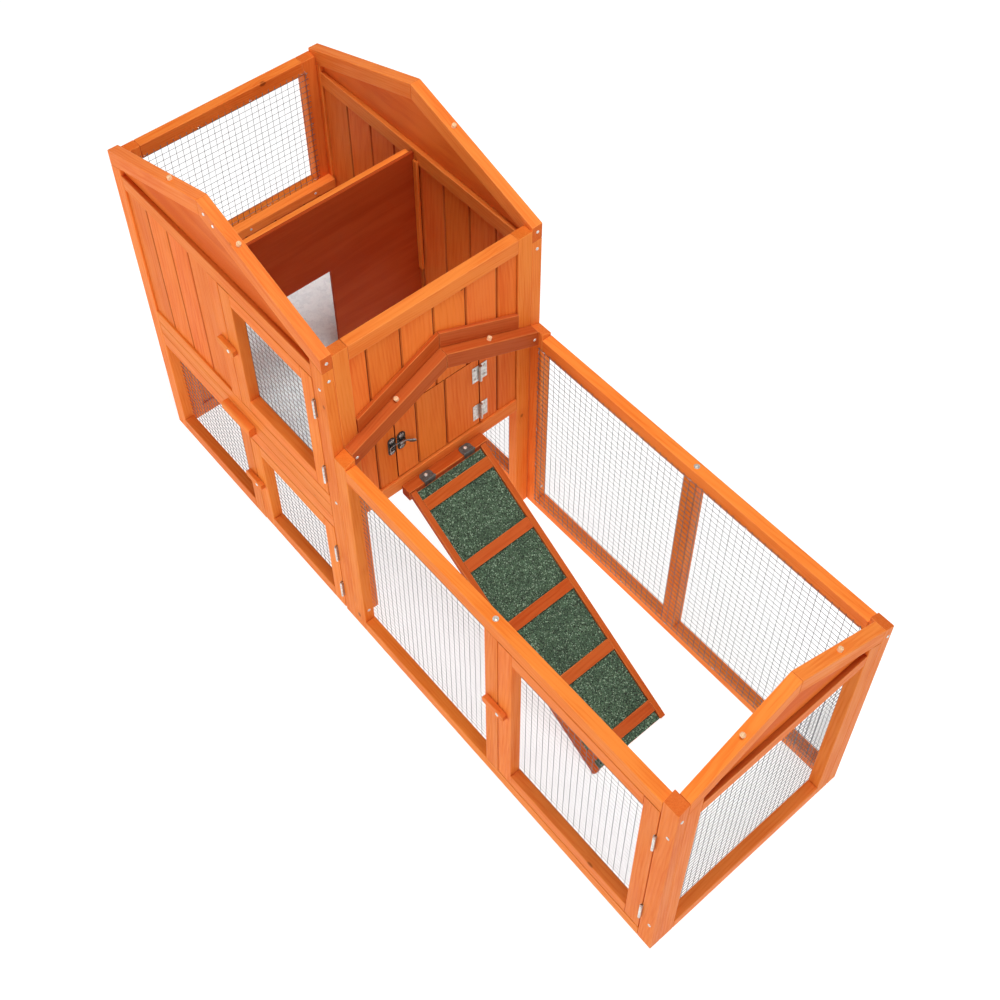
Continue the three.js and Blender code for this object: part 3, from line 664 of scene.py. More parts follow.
def board_wall(name, node, axis, along_span, depth, joints, rise, doorway=None, body="hutch"):
    """Upright tongue-and-groove boards, each with chamfered long edges, and the tongues between them.
    doorway is the ((from, to), top) cut out of the lower edge."""
    piece = Piece(name)
    places = [along_span[0], *joints, along_span[1]]
    across = 1 if axis == "x" else 0
    # painted shade on the edges in the joints, at the wall's ends and beside a doorway
    painted_shade = joint_gap_shade(across, [*places, *(doorway[0] if doorway else ())])
    for left, right in zip(places, places[1:]):
        shape = prism(axis, board_outline(inset((left, right), BOARD_SHRINKAGE), rise, doorway), depth)
        sides = [place for place in (left, right) if place in joints]
        chamfered = [
            edge
            for edge in shape.edges
            if any(all(abs(v.co[across] - side) < 1 for v in edge.verts) for side in sides)
            and abs(edge.verts[0].co.z - edge.verts[1].co.z) > 1
        ]
        if chamfered:
            soften(shape, CHAMFER, 1, chamfered, worn=False)
        piece.add(soften(shape, BOARD_ARRIS, 1), "z", painted_shade=painted_shade)
    middle = sum(depth) / 2
    for joint in joints:
        over_doorway = doorway and doorway[0][0] - 3 < joint < doorway[0][1] + 3
        low = doorway[1] if over_doorway else rise[0]
        outline = rectangle((joint - TONGUE_REACH, joint + TONGUE_REACH), inset((low, rise[1]), 1))
        tongue = prism(axis, outline, (middle - TONGUE_THICK / 2, middle + TONGUE_THICK / 2))
        # the tongues show only in the gaps between boards, so they are painted dark all over as shade
        piece.add(tongue, "z", painted_shade=lambda face: BOARD_GAP_SHADE)
    piece.made(BOARD_WOOD, node, body=body)


def wire_panel(node, body, axis, faces_in):
    """Welded mesh in the place of a CAD sheet, its cut ends a little uneven.
    faces_in is +1 where the far side along axis is inside the hutch, and -1 where the near one is."""
    low, high = corner_box(node)
    flat, run, run_name = {"x": (0, 1, "y"), "y": (1, 0, "x")}[axis]
    level, rise = (low[run], high[run]), (low.z, high.z)
    outer, inner = (low[flat], high[flat]) if faces_in > 0 else (high[flat], low[flat])
    outer_wires, inner_wires = outer + faces_in * WIRE_RADIUS, inner - faces_in * WIRE_RADIUS
    piece = Piece(node + "_mesh")
    for place in wire_places(*level):
        wire = wire_line(lambda t, drift: lift(axis, place + drift, t, outer_wires), *rise)
        piece.add(tube(wire, WIRE_RADIUS), "z", smooth=True)
    for place in wire_places(*rise):
        wire = wire_line(lambda t, drift: lift(axis, t, place + drift, inner_wires), *level)
        piece.add(tube(wire, WIRE_RADIUS), run_name, smooth=True)
    piece.made(WIRE_STEEL, node, body=body)
    staples(node, body, axis, (level, rise), inner, faces_in)


def wire_places(low, high):
    count = int((high - low - 3) // WIRE_PITCH)
    margin = (high - low - count * WIRE_PITCH) / 2
    return [low + margin + i * WIRE_PITCH for i in range(count + 1)]


def wire_line(point, start, end, steps=5):
    """A wire from start to end that bows very slightly, its ends cut unevenly."""
    first = start + rng.uniform(0.1, 1.2)
    last = end - rng.uniform(0.1, 1.2)
    bow = rng.uniform(-0.1, 0.1)
    lean = rng.uniform(-0.1, 0.1)
    shares = [i / steps for i in range(steps + 1)]
    drifts = [bow * math.sin(math.pi * t) + lean * (t - 0.5) for t in shares]
    return [point(first + (last - first) * t, drift) for t, drift in zip(shares, drifts)]


def staples(node, body, axis, spans, inner, faces_in):
    """Crown staples round a mesh panel's edge, driven into the sticks behind it."""
    half_crown, wire, edge, step, margin = 3.2, 0.4, 3.6, 110, 12
    top = inner + faces_in * wire / 2
    shoulder, foot = top - faces_in * 0.4, inner - faces_in * 3.5
    # how far along the crown, and the depth there
    bends = ((0, foot), (0, shoulder), (0.08, top), (0.92, top), (1, shoulder), (1, foot))
    piece = Piece(node + "_staples")
    for upright, (start, end) in enumerate(spans):
        length = end - start - 2 * margin
        count = max(2, round(length / step))
        for fixed in inset(spans[1 - upright], edge):
            for i in range(count + 1):
                middle = start + margin + length * i / count + rng.uniform(-3, 3)
                line = []
                for share, depth in bends:
                    place = middle + half_crown * (2 * share - 1)
                    line.append(lift(axis, *((fixed, place) if upright else (place, fixed)), depth))
                piece.add(tube(line, wire), smooth=True)
    piece.made(STAPLE_ZINC, body=body)


def cross_screw(radius=SCREW_RADIUS, height=1.3):
    """A domed screw head with a cross recess, standing on its surface at z = 0."""
    turns = [math.radians(15 * i - 15) for i in range(24)]
    dome = [(1.0, -0.6), (1.0, 0.25), (0.9, 0.62), (0.68, 0.9), (0.5, 1.0)]
    rings = [
        [(radius * share * math.cos(t), radius * share * math.sin(t), height * level) for t in turns]
        for share, level in dome
    ]
    for share, level in ((0.42, 0.98), (0.3, 0.2)):
        reach = radius * share
        rings.append([(x, y, height * level) for x, y in cross_outline(reach, reach * 0.268)])
    return loft(rings)


def cross_outline(reach, half):
    """A plus sign of 24 points that start at the lower corner of its +X arm, one for every 15 degrees."""
    quarter = [(reach, -half), (reach, half), (half, half)]
    turns = ((1, 0), (0, 1), (-1, 0), (0, -1))
    corners = [(x * c - y * s, x * s + y * c) for c, s in turns for x, y in quarter]
    following = [*corners[1:], corners[0]]
    halfway = [((x + nx) / 2, (y + ny) / 2) for (x, y), (nx, ny) in zip(corners, following)]
    return [point for pair in zip(corners, halfway) for point in pair]


def screws(name, body, places, radius=SCREW_RADIUS, washer=0.0):
    """Screw heads at (point, outward normal) places, over washers of that radius where there are any."""
    piece = Piece(name)
    for point, normal in places:
        spin = Matrix.Rotation(rng.uniform(0, math.pi), 4, "Z")
        seat = facing(point, normal)
        if washer:
            hole, thick = radius * 0.8, 1.0
            ring = [(hole, 0), (washer, 0), (washer, thick - 0.2), (washer - 0.3, thick), (hole, thick)]
            piece.add(lathe(ring), place=seat)
            seat = seat @ Matrix.Translation((0, 0, thick))
        piece.add(cross_screw(radius), place=seat @ spin, smooth=True)
    piece.made(SCREW_ZINC, body=body)


def roof_dowels(name, axis, line, depth, places):
    """Locating pegs for the roof panels, standing square on a pair of rafters."""
    piece = Piece(name)
    r, h = DOWEL_RADIUS, DOWEL_STANDS
    for place in places:
        upwards = lift(axis, line(place) - line(place + 1), 1, 0)
        peg = lathe([(r, -4), (r, h - 1.2), (r - 0.4, h - 0.4), (r - 1.2, h)])
        piece.add(peg, "z", place=facing(lift(axis, place, line(place), depth), upwards))
    piece.made(DOWEL_WOOD)


# ---------------------------------------------------------------- house walls
MIDDLE = HOUSE_LENGTH / 2
LEFT_STILE = (0, STILE)
RIGHT_STILE = (HOUSE_LENGTH - STILE, HOUSE_LENGTH)
BETWEEN_STILES = (STILE + GAP, HOUSE_LENGTH - STILE - GAP)
LEFT_BAY = (STILE + GAP, MIDDLE_STILE[0] - GAP)  # left of the front's middle stile


def ledge_painted_shade(amount):
    """Painted shade on the ledge facing up, behind the recessed panel, where the recess lies in shade."""
    return lambda face: amount if face.normal.z > 0.9 else 0.0


def house_stiles(piece, layer):
    for span in (LEFT_STILE, RIGHT_STILE):
        piece.stick("y", post_under(house_top, span, HOUSE_RAFTER + GAP), layer, "z")


def house_front_frame():
    piece = Piece("house_front_sticks")
    house_stiles(piece, FRONT_STICKS)
    for rise in (LOWER_HEAD, (SLOT_TOP, DOOR_SILL_TOP)):
        piece.bar(BETWEEN_STILES, FRONT_STICKS, rise)
    # painted shade on the wall head's up-facing ledge, under the recessed gable plywood
    piece.bar(BETWEEN_STILES, FRONT_STICKS, WALL_HEAD, painted_shade=ledge_painted_shade(0.22))
    piece.bar(LEFT_BAY, FRONT_STICKS, (0, SILL_TOP))
    for rise in ((0, LOWER_HEAD[0] - GAP), inset((DOOR_SILL_TOP, WALL_HEAD[0]), GAP)):
        piece.bar(MIDDLE_STILE, FRONT_STICKS, rise)
    piece.made(STICK_WOOD, "house_front_frame")


def house_back_frame():
    piece = Piece("house_back_sticks")
    house_stiles(piece, BACK_STICKS)
    for rise in (WALL_HEAD, UPPER_FLOOR, (0, SILL_TOP)):
        piece.bar(BETWEEN_STILES, BACK_STICKS, rise)
    piece.bar((278, 308), BACK_STICKS, inset((SILL_TOP, UPPER_FLOOR[0]), GAP))
    piece.made(STICK_WOOD, "house_back_frame")


def rafter_pair(name, node, axis, line, span, depths, layer, material=STICK_WOOD, gap=GAP / 2, arris=ARRIS):
    """Two rafters between two depths below a gable's edge, with a plumb mitre at the peak."""
    piece = Piece(name)
    peak = sum(span) / 2
    for a0, a1 in ((span[0], peak - gap), (peak + gap, span[1])):
        slope = lift(axis, a1 - a0, line(a1) - line(a0), 0)
        piece.stick(axis, sloping_band(line, (a0, a1), *depths), layer, slope, arris)
    piece.made(material, node)


def gable_ply(place, axis, along, line, span, base, drop, layer):
    fill = Piece(place + "_gable_ply")
    fill.sheet(axis, gable_fill(line, span, base + GAP, drop + GAP), layer, along)
    fill.made(PLY_WOOD, place + "_gable_panel")


def house_gable(side, layer, ply_layer):
    place = "house_" + side
    names = (place + "_rafter_pair", place + "_rafters")
    rafter_pair(*names, "y", house_top, (0, HOUSE_LENGTH), (0, HOUSE_RAFTER), layer)
    gable_ply(place, "y", "x", house_top, BETWEEN_STILES, WALL_HEAD[1], HOUSE_RAFTER, ply_layer)


def even(first, pitch, count):
    return [first + i * pitch for i in range(count)]


def house_boards():
    end_wall = inset(INSIDE, GAP)
    over_door = (UPPER_FLOOR[1], END_HEAD)
    walls = (
        ("front", "y", LEFT_BAY, FRONT_BOARDS, even(88, 62, 3), (DOOR_SILL_TOP, WALL_HEAD[0]), None),
        ("back", "y", BETWEEN_STILES, BACK_BOARDS, even(98, 66, 7), (UPPER_FLOOR[1], WALL_HEAD[0]), None),
        ("left", "x", end_wall, FRONT_BOARDS, even(80, 65, 5), (SILL_TOP, LEFT_SILL[0]), None),
        ("right", "x", end_wall, RIGHT_BOARDS, even(80.5, 62.7, 5), over_door, POP_DOORWAY),
    )
    for side, axis, span, depth, joints, rise, doorway in walls:
        name = f"house_{side}_board"
        board_wall(name + "_wall", name + "s", axis, span, depth, joints, inset(rise, GAP), doorway)


def end_panel(side, x, rails):
    """Two stiles with rails between them, in the plane of an end wall."""
    piece = Piece(f"house_{side}_sticks")
    for y in END_STILES:
        piece.bar(x, y, (0, END_TOP))
    for rise in rails:
        piece.bar(x, inset(INSIDE, GAP), rise)
    piece.made(STICK_WOOD, f"house_{side}_frame")


def house_ends():
    end_panel("left", (0, STICK), [(END_TOP - 28, END_TOP), LEFT_SILL, (0, SILL_TOP)])
    batten = Piece("house_left_wire_batten")
    batten_face = 2 * STICK - 0.5
    batten.bar((STICK + GAP, batten_face), BETWEEN, (LEFT_SILL[1] - 20, LEFT_SILL[1]))
    batten.made(STICK_WOOD)
    heads = [((batten_face, y, LEFT_SILL[1] - 9), (1, 0, 0)) for y in (210, 354)]
    screws("house_left_batten_nails", "hutch", heads, 2.4)
    end_panel("right", (HOUSE_LENGTH - STICK, HOUSE_LENGTH), [(END_HEAD, END_TOP), UPPER_FLOOR])
    # the darker, redder wood here paints the shade on the roof batten
    rafter_pair(
        "house_right_roof_batten",
        "house_right_batten",
        "x",
        run_top,
        inset(INSIDE, GAP),
        (-RUN_RAFTER, -2 * GAP),
        (RIGHT_BOARDS[1] + GAP, HOUSE_LENGTH + 3),
        RED_STICK_WOOD,
        gap=GAP,
        arris=1.0,
    )


# ---------------------------------------------------------------- drawer, divider
def drawer():
    boxed_stick("drawer_front", "drawer_face", "drawer")
    low, high = corner_box("drawer_handle")
    r = 5
    rounded_nose = [*arc((low.y + r, low.z + r), r, 270, 180), *arc((low.y + r, high.z - r), r, 180, 90)]
    grip = Piece("drawer_grip")
    grip.stick("x", [(high.y, low.z), *rounded_nose, (high.y, high.z)], (low.x, high.x), "x", arris=0.9)
    grip.made(STICK_WOOD, "drawer_handle", body="drawer")


def tray_pan():
    """A folded tray of thin sheet: rounded corners, a coved floor and a hem rolled in along its rim."""
    low, high = corner_box("tray")
    outside = ((3.0, 0.0), (0.9, 0.9), (0.0, 3.0))
    hem = ((0.0, -1.3), (0.4, -0.4), (1.3, 0.0), (2.3, -0.4), (2.7, -1.3), (2.3, -2.4), (1.0, -2.8))
    inside = ((0.9, 3.6), (1.7, 1.8), (3.6, 1.0))
    rings = []
    for base, steps in ((low.z, outside), (high.z, hem), (low.z, inside)):
        for inwards, up in steps:
            outline = rounded_rectangle((low.x, high.x), (low.y, high.y), inwards, 9)
            rings.append([(x, y, base + up) for x, y in outline])
    pan = Piece("tray_pan")
    pan.add(loft(rings))
    pan.made(GALVANISED, "tray", body="drawer")


def rounded_rectangle(first, second, inwards, radius):
    """A rectangle with rounded corners, drawn back inwards all round."""
    (a0, a1), (b0, b1) = inset(first, radius), inset(second, radius)
    centres = ((a1, b1), (a0, b1), (a0, b0), (a1, b0))
    corners = [arc(centre, radius - inwards, 90 * i, 90 * i + 90, 5) for i, centre in enumerate(centres)]
    return [point for corner in corners for point in corner]


def divider():
    low, high = corner_box("divider")
    (y0, z0), (y1, z1) = low.yz, high.yz
    face = 287  # where the plywood starts, behind the batten
    door_y, door_z = 213, 518
    outline = [(door_y, z0), (y1, z0), (y1, z1), (y0, z1), (y0, door_z), (door_y, door_z)]
    sheet = Piece("divider_sheet_ply")
    sheet.sheet("x", outline, (face, high.x), "y", arris=0.5)
    sheet.made(SHADED_DIVIDER_PLY, "divider", body="divider_sheet")
    batten = Piece("divider_batten")
    batten.bar((low.x, face - 0.1), inset((y0, y1), 5.5), (z1 - 25.5, z1))
    batten.made(STICK_WOOD, body="divider_sheet")


def divider_guides():
    """The two grooved sticks that the divider slides in."""
    s0, s1 = 286.5, 293.5
    for side, out in (("front", 1), ("back", -1)):
        node = "divider_guide_" + side
        low, high = corner_box(node)
        wall, tip = (low.y, high.y) if out > 0 else (high.y, low.y)
        base = wall + out * 0.9
        groove = [(s1, tip), (s1, base), (s0, base), (s0, tip)]
        piece = Piece(node + "_stick")
        outline = [(low.x, wall), (high.x, wall), (high.x, tip), *groove, (low.x, tip)]
        piece.stick("z", outline, (low.z, high.z), "z", arris=0.8)
        piece.made(STICK_WOOD, node)


# ---------------------------------------------------------------- doors and their furniture
def wire_door(name, body, stick):
    x, y, z = zip(*corner_box(name + "_frame"))
    piece = Piece(name + "_sticks")
    for stile in ends(x, stick):
        piece.bar(stile, y, z)
    for rail in ends(z, stick):
        piece.bar(inset(x, stick + GAP), y, rail)
    piece.made(STICK_WOOD, name + "_frame", body=body)
    wire_panel(name + "_wire", body, "y", 1)
    for which in ("top", "bottom"):
        butt_hinge(f"{name}_hinge_{which}", body)


def ends(span, width):
    return ((span[0], span[0] + width), (span[1] - width, span[1]))


def knuckles(first, second, seat, length, radius, count, sides=24, along="z"):
    """A hinge's knuckles up from seat, by turns on its two leaves, with a fine gap between them."""
    step = length / count
    body = step - 0.5
    profile = [(radius - 0.3, 0), (radius, 0.3), (radius, body - 0.3), (radius - 0.3, body)]
    for i in range(count):
        place = seat @ Matrix.Translation((0, 0, i * step + 0.25))
        (second if i % 2 else first).add(lathe(profile, sides), along, place=place)


def upright_hinge(door, wall, centre, rise, radius, count):
    """Knuckles on the leaves that hold them, and the pin through them, on its own leaf."""
    seat = Matrix.Translation((*centre, rise[0]))
    knuckles(door, wall, seat, rise[1] - rise[0], radius, count)
    rod = [(radius * 0.55, level) for level in inset(rise, 0.05)]
    door.add(lathe(rod, 16), place=Matrix.Translation((*centre, 0)), smooth=True)


def butt_hinge(node, body):
    """A slim butt hinge in the gap beside a door: five knuckles on one pin, a leaf to each side."""
    low, high = corner_box(node)
    cad_radius, radius = 3.0, 2.3
    centre = (high.x - cad_radius, low.y + cad_radius)
    rise, depth = (low.z, high.z), (centre[1], high.y)
    door = Piece(node + "_door_leaf")
    wall = Piece(node + "_wall_leaf")
    upright_hinge(door, wall, centre, rise, radius, 5)
    door.leaf((low.x, low.x + 0.8), depth, rise)
    wall.leaf((centre[0] + 0.35, centre[0] + 1.05), depth, rise)
    door.made(ZINC, node, body=body)
    wall.made(ZINC)


def turn_button(door, body):
    """A wooden turn button with round ends on a screw."""
    node = door + "_button"
    low, high = corner_box(node)
    radius = (high.z - low.z) / 2
    middle = (high.z + low.z) / 2
    outline = round_ended((high.x - radius, middle), (low.x + radius, middle), radius, -90)
    piece = Piece(node + "_wood")
    piece.stick("y", outline, (low.y, high.y), "x", arris=1.6)
    piece.made(STICK_WOOD, node, body=body)
    pivot = joint_place(body)
    screws(node + "_screw", body, [((pivot.x, low.y, pivot.z), (0, -1, 0))], 3.4)


def pop_door():
    low, high = corner_box("pop_door")
    worn = 0.5
    span, rise = inset((low.y, high.y), worn), inset((low.z, high.z), worn)
    depth = (low.x, high.x)
    board_wall("pop_door_boards", "pop_door", "x", span, depth, [162, 222], rise, body="pop_hatch")
    ledgers = Piece("pop_door_ledgers")
    for level in (352, 462):
        ledgers.bar((low.x - 8, low.x - 0.1), inset((low.y, high.y), 8), (level - 12, level + 12))
    ledgers.made(STICK_WOOD, body="pop_hatch")
    for which in ("top", "bottom"):
        surface_hinge("pop_door_hinge_" + which)


def surface_hinge(node):
    """A surface hinge over the pop door's edge: a leaf with two screws to each side of the knuckles."""
    low, high = corner_box(node)
    radius, thick, count = 3.0, 0.8, 3
    centre = (low.x + radius, high.y - radius)
    rise, depth = (low.z, high.z), (low.x, low.x + thick)
    clear = radius * 0.4
    door = Piece(node + "_door_leaf")
    wall = Piece(node + "_wall_leaf")
    upright_hinge(wall, door, centre, rise, radius, count)
    door.leaf(depth, (low.y, centre[1] - clear), rise, 0.25, "z")
    wall.leaf(depth, (centre[1] + clear, centre[1] + 15.5), rise, 0.25, "z")
    door.leaf(depth, (centre[1] - 2, centre[1]), inset(rise, (rise[1] - rise[0]) / count), 0.1)
    door.made(ZINC, node, body="pop_hatch")
    wall.made(ZINC)
    for side, body, y in (("door", "pop_hatch", low.y + 5.2), ("wall", "hutch", centre[1] + 10)):
        screws(f"{node}_{side}_screws", body, [((depth[1], y, z), (1, 0, 0)) for z in inset(rise, 8)], 2.5)


def hook_plate(which, body):
    """A pressed plate with round ends and two domed screws, and on the wall's one the catch pin."""
    node = f"hook_{which}_plate"
    low, high = corner_box(node)
    radius = (high.y - low.y) / 2
    middle = (low.y + high.y) / 2
    face = low.x + 1.5
    plate = Piece(node + "_pressed")
    outline = round_ended((middle, high.z - radius), (middle, low.z + radius), radius, 0)
    plate.add(soften(prism("x", outline, (low.x, face)), 0.5, 2), "z")
    heads = Piece(node + "_screws")
    for z in inset((low.z, high.z), 6.5):
        heads.add(cross_screw(4.9, 2.1), place=facing((face, middle, z), (1, 0, 0)), smooth=True)
    heads.made(DARK_STEEL, body=body)
    if which == "wall":
        stem = high.x - low.x
        pin = [(2.5, 0), (2.5, stem - 1.6), (2.2, stem - 0.6), (1.4, stem)]
        seat = facing((low.x, middle, (low.z + high.z) / 2), (1, 0, 0))
        plate.add(lathe(pin), place=seat, smooth=True)
    plate.made(BLACK_PAINT, node, body=body)


def hook_arm():
    """A steel bar from a flattened thumb tail, over its boss, to a claw over the catch pin."""
    low, high = corner_box("hook_arm")
    pivot = joint_place("hook")
    thick = 1.15
    x = high.x - thick - 0.1
    # y, then height from the pivot, then half the bar's width there
    route = [(154.5, -17.5, 1.2), (152.5, -15.2, 2.9), (149, -12, 3.6), (145, -8.6, 3.2), (141, -4.8, 2.2)]
    route += [(135, 0.3, 1.5), (128.5, 3.4, 1.4), (121, 5.6, 1.3), (114, 6.9, 1.3), (109, 7.0, 1.3)]
    route += [(104.8, 5.4, 1.3), (103.1, 1.6, 1.3), (103.3, -2.4, 1.3), (104.2, -4.4, 0.9)]
    line = [(Vector((x, y, pivot.z + z)), width) for y, z, width in smooth_line(route)]
    arm = Piece("hook_arm_bar")
    arm.add(flat_bar(line, thick), "y", smooth=True)
    reach = high.x - low.x
    boss = [(4.4, 0), (4.8, 0.3), (4.8, reach - 1.9), (4.3, reach - 1.0), (2.6, reach - 0.3), (1.2, reach)]
    arm.add(lathe(boss), place=facing((low.x, pivot.y, pivot.z), (1, 0, 0)), smooth=True)
    arm.made(DARK_STEEL, "hook_arm", body="hook")


def flat_bar(line, thick, sides=12):
    """An oval bar along (point, half width) pairs in the Y-Z plane, thick to each side along X."""
    rings = []
    for (point, width), heading in zip(line, headings([point for point, _ in line])):
        side = heading.cross(AXES["x"]).normalized() * width
        rings.append([point + side * c + AXES["x"] * thick * s for c, s in circle(1, sides)])
    return loft(rings)


def smooth_line(points, steps=4):
    """Catmull-Rom points through the given ones."""
    padded = [points[0], *points, points[-1]]
    line = []
    for corners in zip(padded, padded[1:], padded[2:], padded[3:]):
        for t in (i / steps for i in range(steps)):
            line.append(tuple(catmull_rom(t, *values) for values in zip(*corners)))
    return [*line, points[-1]]


def catmull_rom(t, a, b, c, d):
    bend = (2 * a - 5 * b + 4 * c - d) * t * t
    return 0.5 * (2 * b + (c - a) * t + bend + (3 * b - a - 3 * c + d) * t**3)


# ---------------------------------------------------------------- run
RUN_ENDS = (RUN_START, LENGTH - GAP)


def run_side(side, layer):
    """Two posts with sloping tops, a foot and a top rail between them, and a middle stile."""
    piece = Piece(f"run_{side}_sticks")
    for span in ((RUN_ENDS[0], RUN_ENDS[0] + RUN_POST), (LENGTH - RUN_POST, RUN_ENDS[1])):
        piece.stick("x", post_under(run_top, layer, 0), span, "z")
    between = (RUN_ENDS[0] + RUN_POST + GAP, LENGTH - RUN_POST - GAP)
    for rise in ((0, RUN_FOOT), RUN_RAIL):
        piece.bar(between, layer, rise)
    piece.bar(RUN_MIDDLE, layer, inset((RUN_FOOT, RUN_RAIL[0]), GAP))
    piece.made(STICK_WOOD, f"run_{side}_frame")


def run_end():
    x = (LENGTH - STICK, LENGTH - GAP)
    between = inset(INSIDE, GAP)
    piece = Piece("run_end_sticks")
    for span in END_STILES:
        piece.stick("x", post_under(run_top, span, RUN_RAFTER + GAP), x, "z")
    # deeper painted shade on the end rail's up-facing ledge, under the recessed gable plywood
    piece.bar(x, between, END_RAIL, painted_shade=ledge_painted_shade(0.45))
    piece.bar(x, between, (0, END_FOOT))
    piece.made(STICK_WOOD, "run_end_frame")
    rafters = ("x", run_top, BETWEEN, (0, RUN_RAFTER))
    rafter_pair("run_end_rafter_pair", "run_end_rafters", *rafters, x)
    header = (RUN_START, RUN_START + STICK)
    # the darker, redder wood here paints the shade on the run's header
    rafter_pair("run_header_rafter_pair", "run_header_rafters", *rafters, header, RED_STICK_WOOD)
    ply = next(zip(*corner_box("run_end_gable_panel")))
    gable_ply("run_end", "x", "y", run_top, between, END_RAIL[1], RUN_RAFTER, ply)


# ---------------------------------------------------------------- ramp
RAMP_SLOPE = math.radians(31.95)
RAMP_LENGTH, RAMP_THICK = 543.5, 12
BOARD_TOP = -6  # under the rails' top faces
RAMP_Y, RAMP_RAIL = (122, 282), 10.5
CLEAT_FIRST, CLEAT_PITCH, CLEAT_COUNT, CLEAT_WIDTH, CLEAT_THICK = 30.5, 121.5, 5, 20.5, 4.2
# The ramp is built lying along +X from its top edge, then turned down the slope.
LYING = Matrix.Translation((607, 0, 299.9)) @ Matrix.Rotation(RAMP_SLOPE, 4, "Y")


def ramp_sheet(span, low, high):
    """A layer of the ramp, its top end cut plumb."""
    lean = math.tan(RAMP_SLOPE)
    outline = [(-low * lean, low), (RAMP_LENGTH, low), (RAMP_LENGTH, high), (-high * lean, high)]
    return prism("y", outline, span)


def ramp():
    tread = inset(RAMP_Y, RAMP_RAIL + GAP)
    board = Piece("ramp_board_ply")
    board.add(soften(ramp_sheet(tread, -RAMP_THICK, BOARD_TOP), 0.4, 1), flat="z", place=LYING)
    board.made(PLY_WOOD, "ramp_board", body="ramp")
    sticks = Piece("ramp_rails_and_cleats")
    for rail in ends(RAMP_Y, RAMP_RAIL):
        sticks.add(soften(ramp_sheet(rail, -RAMP_THICK, 0), 1.0), place=LYING)
    for middle in even(CLEAT_FIRST, CLEAT_PITCH, CLEAT_COUNT):
        span = (middle - CLEAT_WIDTH / 2, middle + CLEAT_WIDTH / 2)
        sticks.bar(span, inset(RAMP_Y, RAMP_RAIL + 0.2), (-CLEAT_THICK, -0.1), 1.0, LYING)
    sticks.made(RED_STICK_WOOD, "ramp_frame", body="ramp")
    ramp_felt(inset(tread, 0.4))
    boxed_stick("ramp_ledge", "ramp_ledge_stick", material=RED_STICK_WOOD)
    for which in ("front", "back"):
        ramp_hinge("ramp_hinge_" + which)


def ramp_felt(span):
    """The felt, a little uneven, its lower edge cut by hand."""
    across, along = 30, 108
    thick, lowest, start = 1.1, BOARD_TOP + GAP + 0.1, 4.5
    ragged = [rng.uniform(-0.7, 0.0) for _ in range(across + 1)]
    shape = bmesh.new()
    grids = []
    for rise, swelling in ((0, 0.0), (thick, 0.16)):
        grid = []
        for i in range(along + 1):
            row = []
            for j in range(across + 1):
                x = start + (RAMP_LENGTH - 0.4 - start) * i / along + (ragged[j] if i == along else 0)
                y = span[0] + (span[1] - span[0]) * j / across
                swell = swelling * math.sin(x * 0.11 + 1.3 * math.sin(y * 0.07)) * math.sin(y * 0.09)
                row.append(shape.verts.new((x, y, lowest + rise + swell)))
            grid.append(row)
        grids.append(grid)
    for grid in grids:
        for near, far in zip(grid, grid[1:]):
            for j in range(across):
                shape.faces.new((near[j], near[j + 1], far[j + 1], far[j]))
    bridge(shape, [grid_rim(grid) for grid in grids])
    bmesh.ops.recalc_face_normals(shape, faces=shape.faces)
    felt = Piece("ramp_felt_sheet")
    felt.add(shape, place=LYING)
    felt.made(FELT, "ramp_felt", body="ramp")


def grid_rim(grid):
    """The vertices round a grid's edge, in order."""
    right = [row[-1] for row in grid[1:-1]]
    left = [row[0] for row in grid[-2:0:-1]]
    return [*grid[0], *right, *reversed(grid[-1]), *left]


def ramp_hinge(node):
    """A dark plate with one screw on the ledge, and knuckles with a leaf on the ramp's plumb end."""
    low, high = corner_box(node)
    thick, radius, corner = 1.2, 2.5, 6
    middle = (low.y + high.y) / 2
    axis_x, face = high.x - radius, low.z + thick
    plate = Piece(node + "_ledge_leaf")
    leaf = Piece(node + "_ramp_leaf")
    rounded = [arc((low.x + corner, high.y - corner), corner, 90, 180)]
    rounded += [arc((low.x + corner, low.y + corner), corner, 180, 270)]
    outline = [(axis_x, high.y), *rounded[0], *rounded[1], (axis_x, low.y)]
    plate.add(soften(prism("z", outline, (low.z, face)), 0.3, 1), "y")
    seat = facing((axis_x, low.y, low.z + radius), (0, 1, 0))
    knuckles(plate, leaf, seat, high.y - low.y, radius, 5, 20, "x")
    leaf.leaf((axis_x + 0.6, axis_x + 1.6), inset((low.y, high.y), 1), (low.z - 12, low.z + radius))
    plate.made(GREY_STEEL, node)
    leaf.made(GREY_STEEL, body="ramp")
    screws(node + "_screw", "hutch", [((low.x + 7, middle, face), (0, 0, 1))], 3.3)


# ---------------------------------------------------------------- screws
def frame_screws():
    right, down = (1, 0, 0), (0, -1, 0)
    house = [((HOUSE_LENGTH, y, z), right) for y, z in ((10, 702), (10, 662), (410, 703), (410, 666))]
    house += [((573, 0, z), down) for z in (640, 351)]
    house += [((x, 0, house_top(x) - 12), down) for x in (MIDDLE + 16, MIDDLE + 39)]
    screws("house_corner_screws", "hutch", house)
    run = [((RUN_START + 20, y, run_top(y) - 17), right) for y in (29, DEPTH - 29)]
    run += [((RUN_START + RUN_POST, y, z), right) for y in (10, DEPTH - 10) for z in (440, 60)]
    run += [((1308, 0, z), down) for z in (401, 80)]
    run += [((RUN_ENDS[1], y, z), right) for y, z in ((9, 457), (DEPTH - 9, 466))]
    screws("run_frame_screws", "hutch", run)
    top = [((952, y, RUN_RAIL[1]), (0, 0, 1)) for y in (10, DEPTH - 10)]
    screws("run_rail_bolts", "hutch", top, 3.0, washer=4.7)


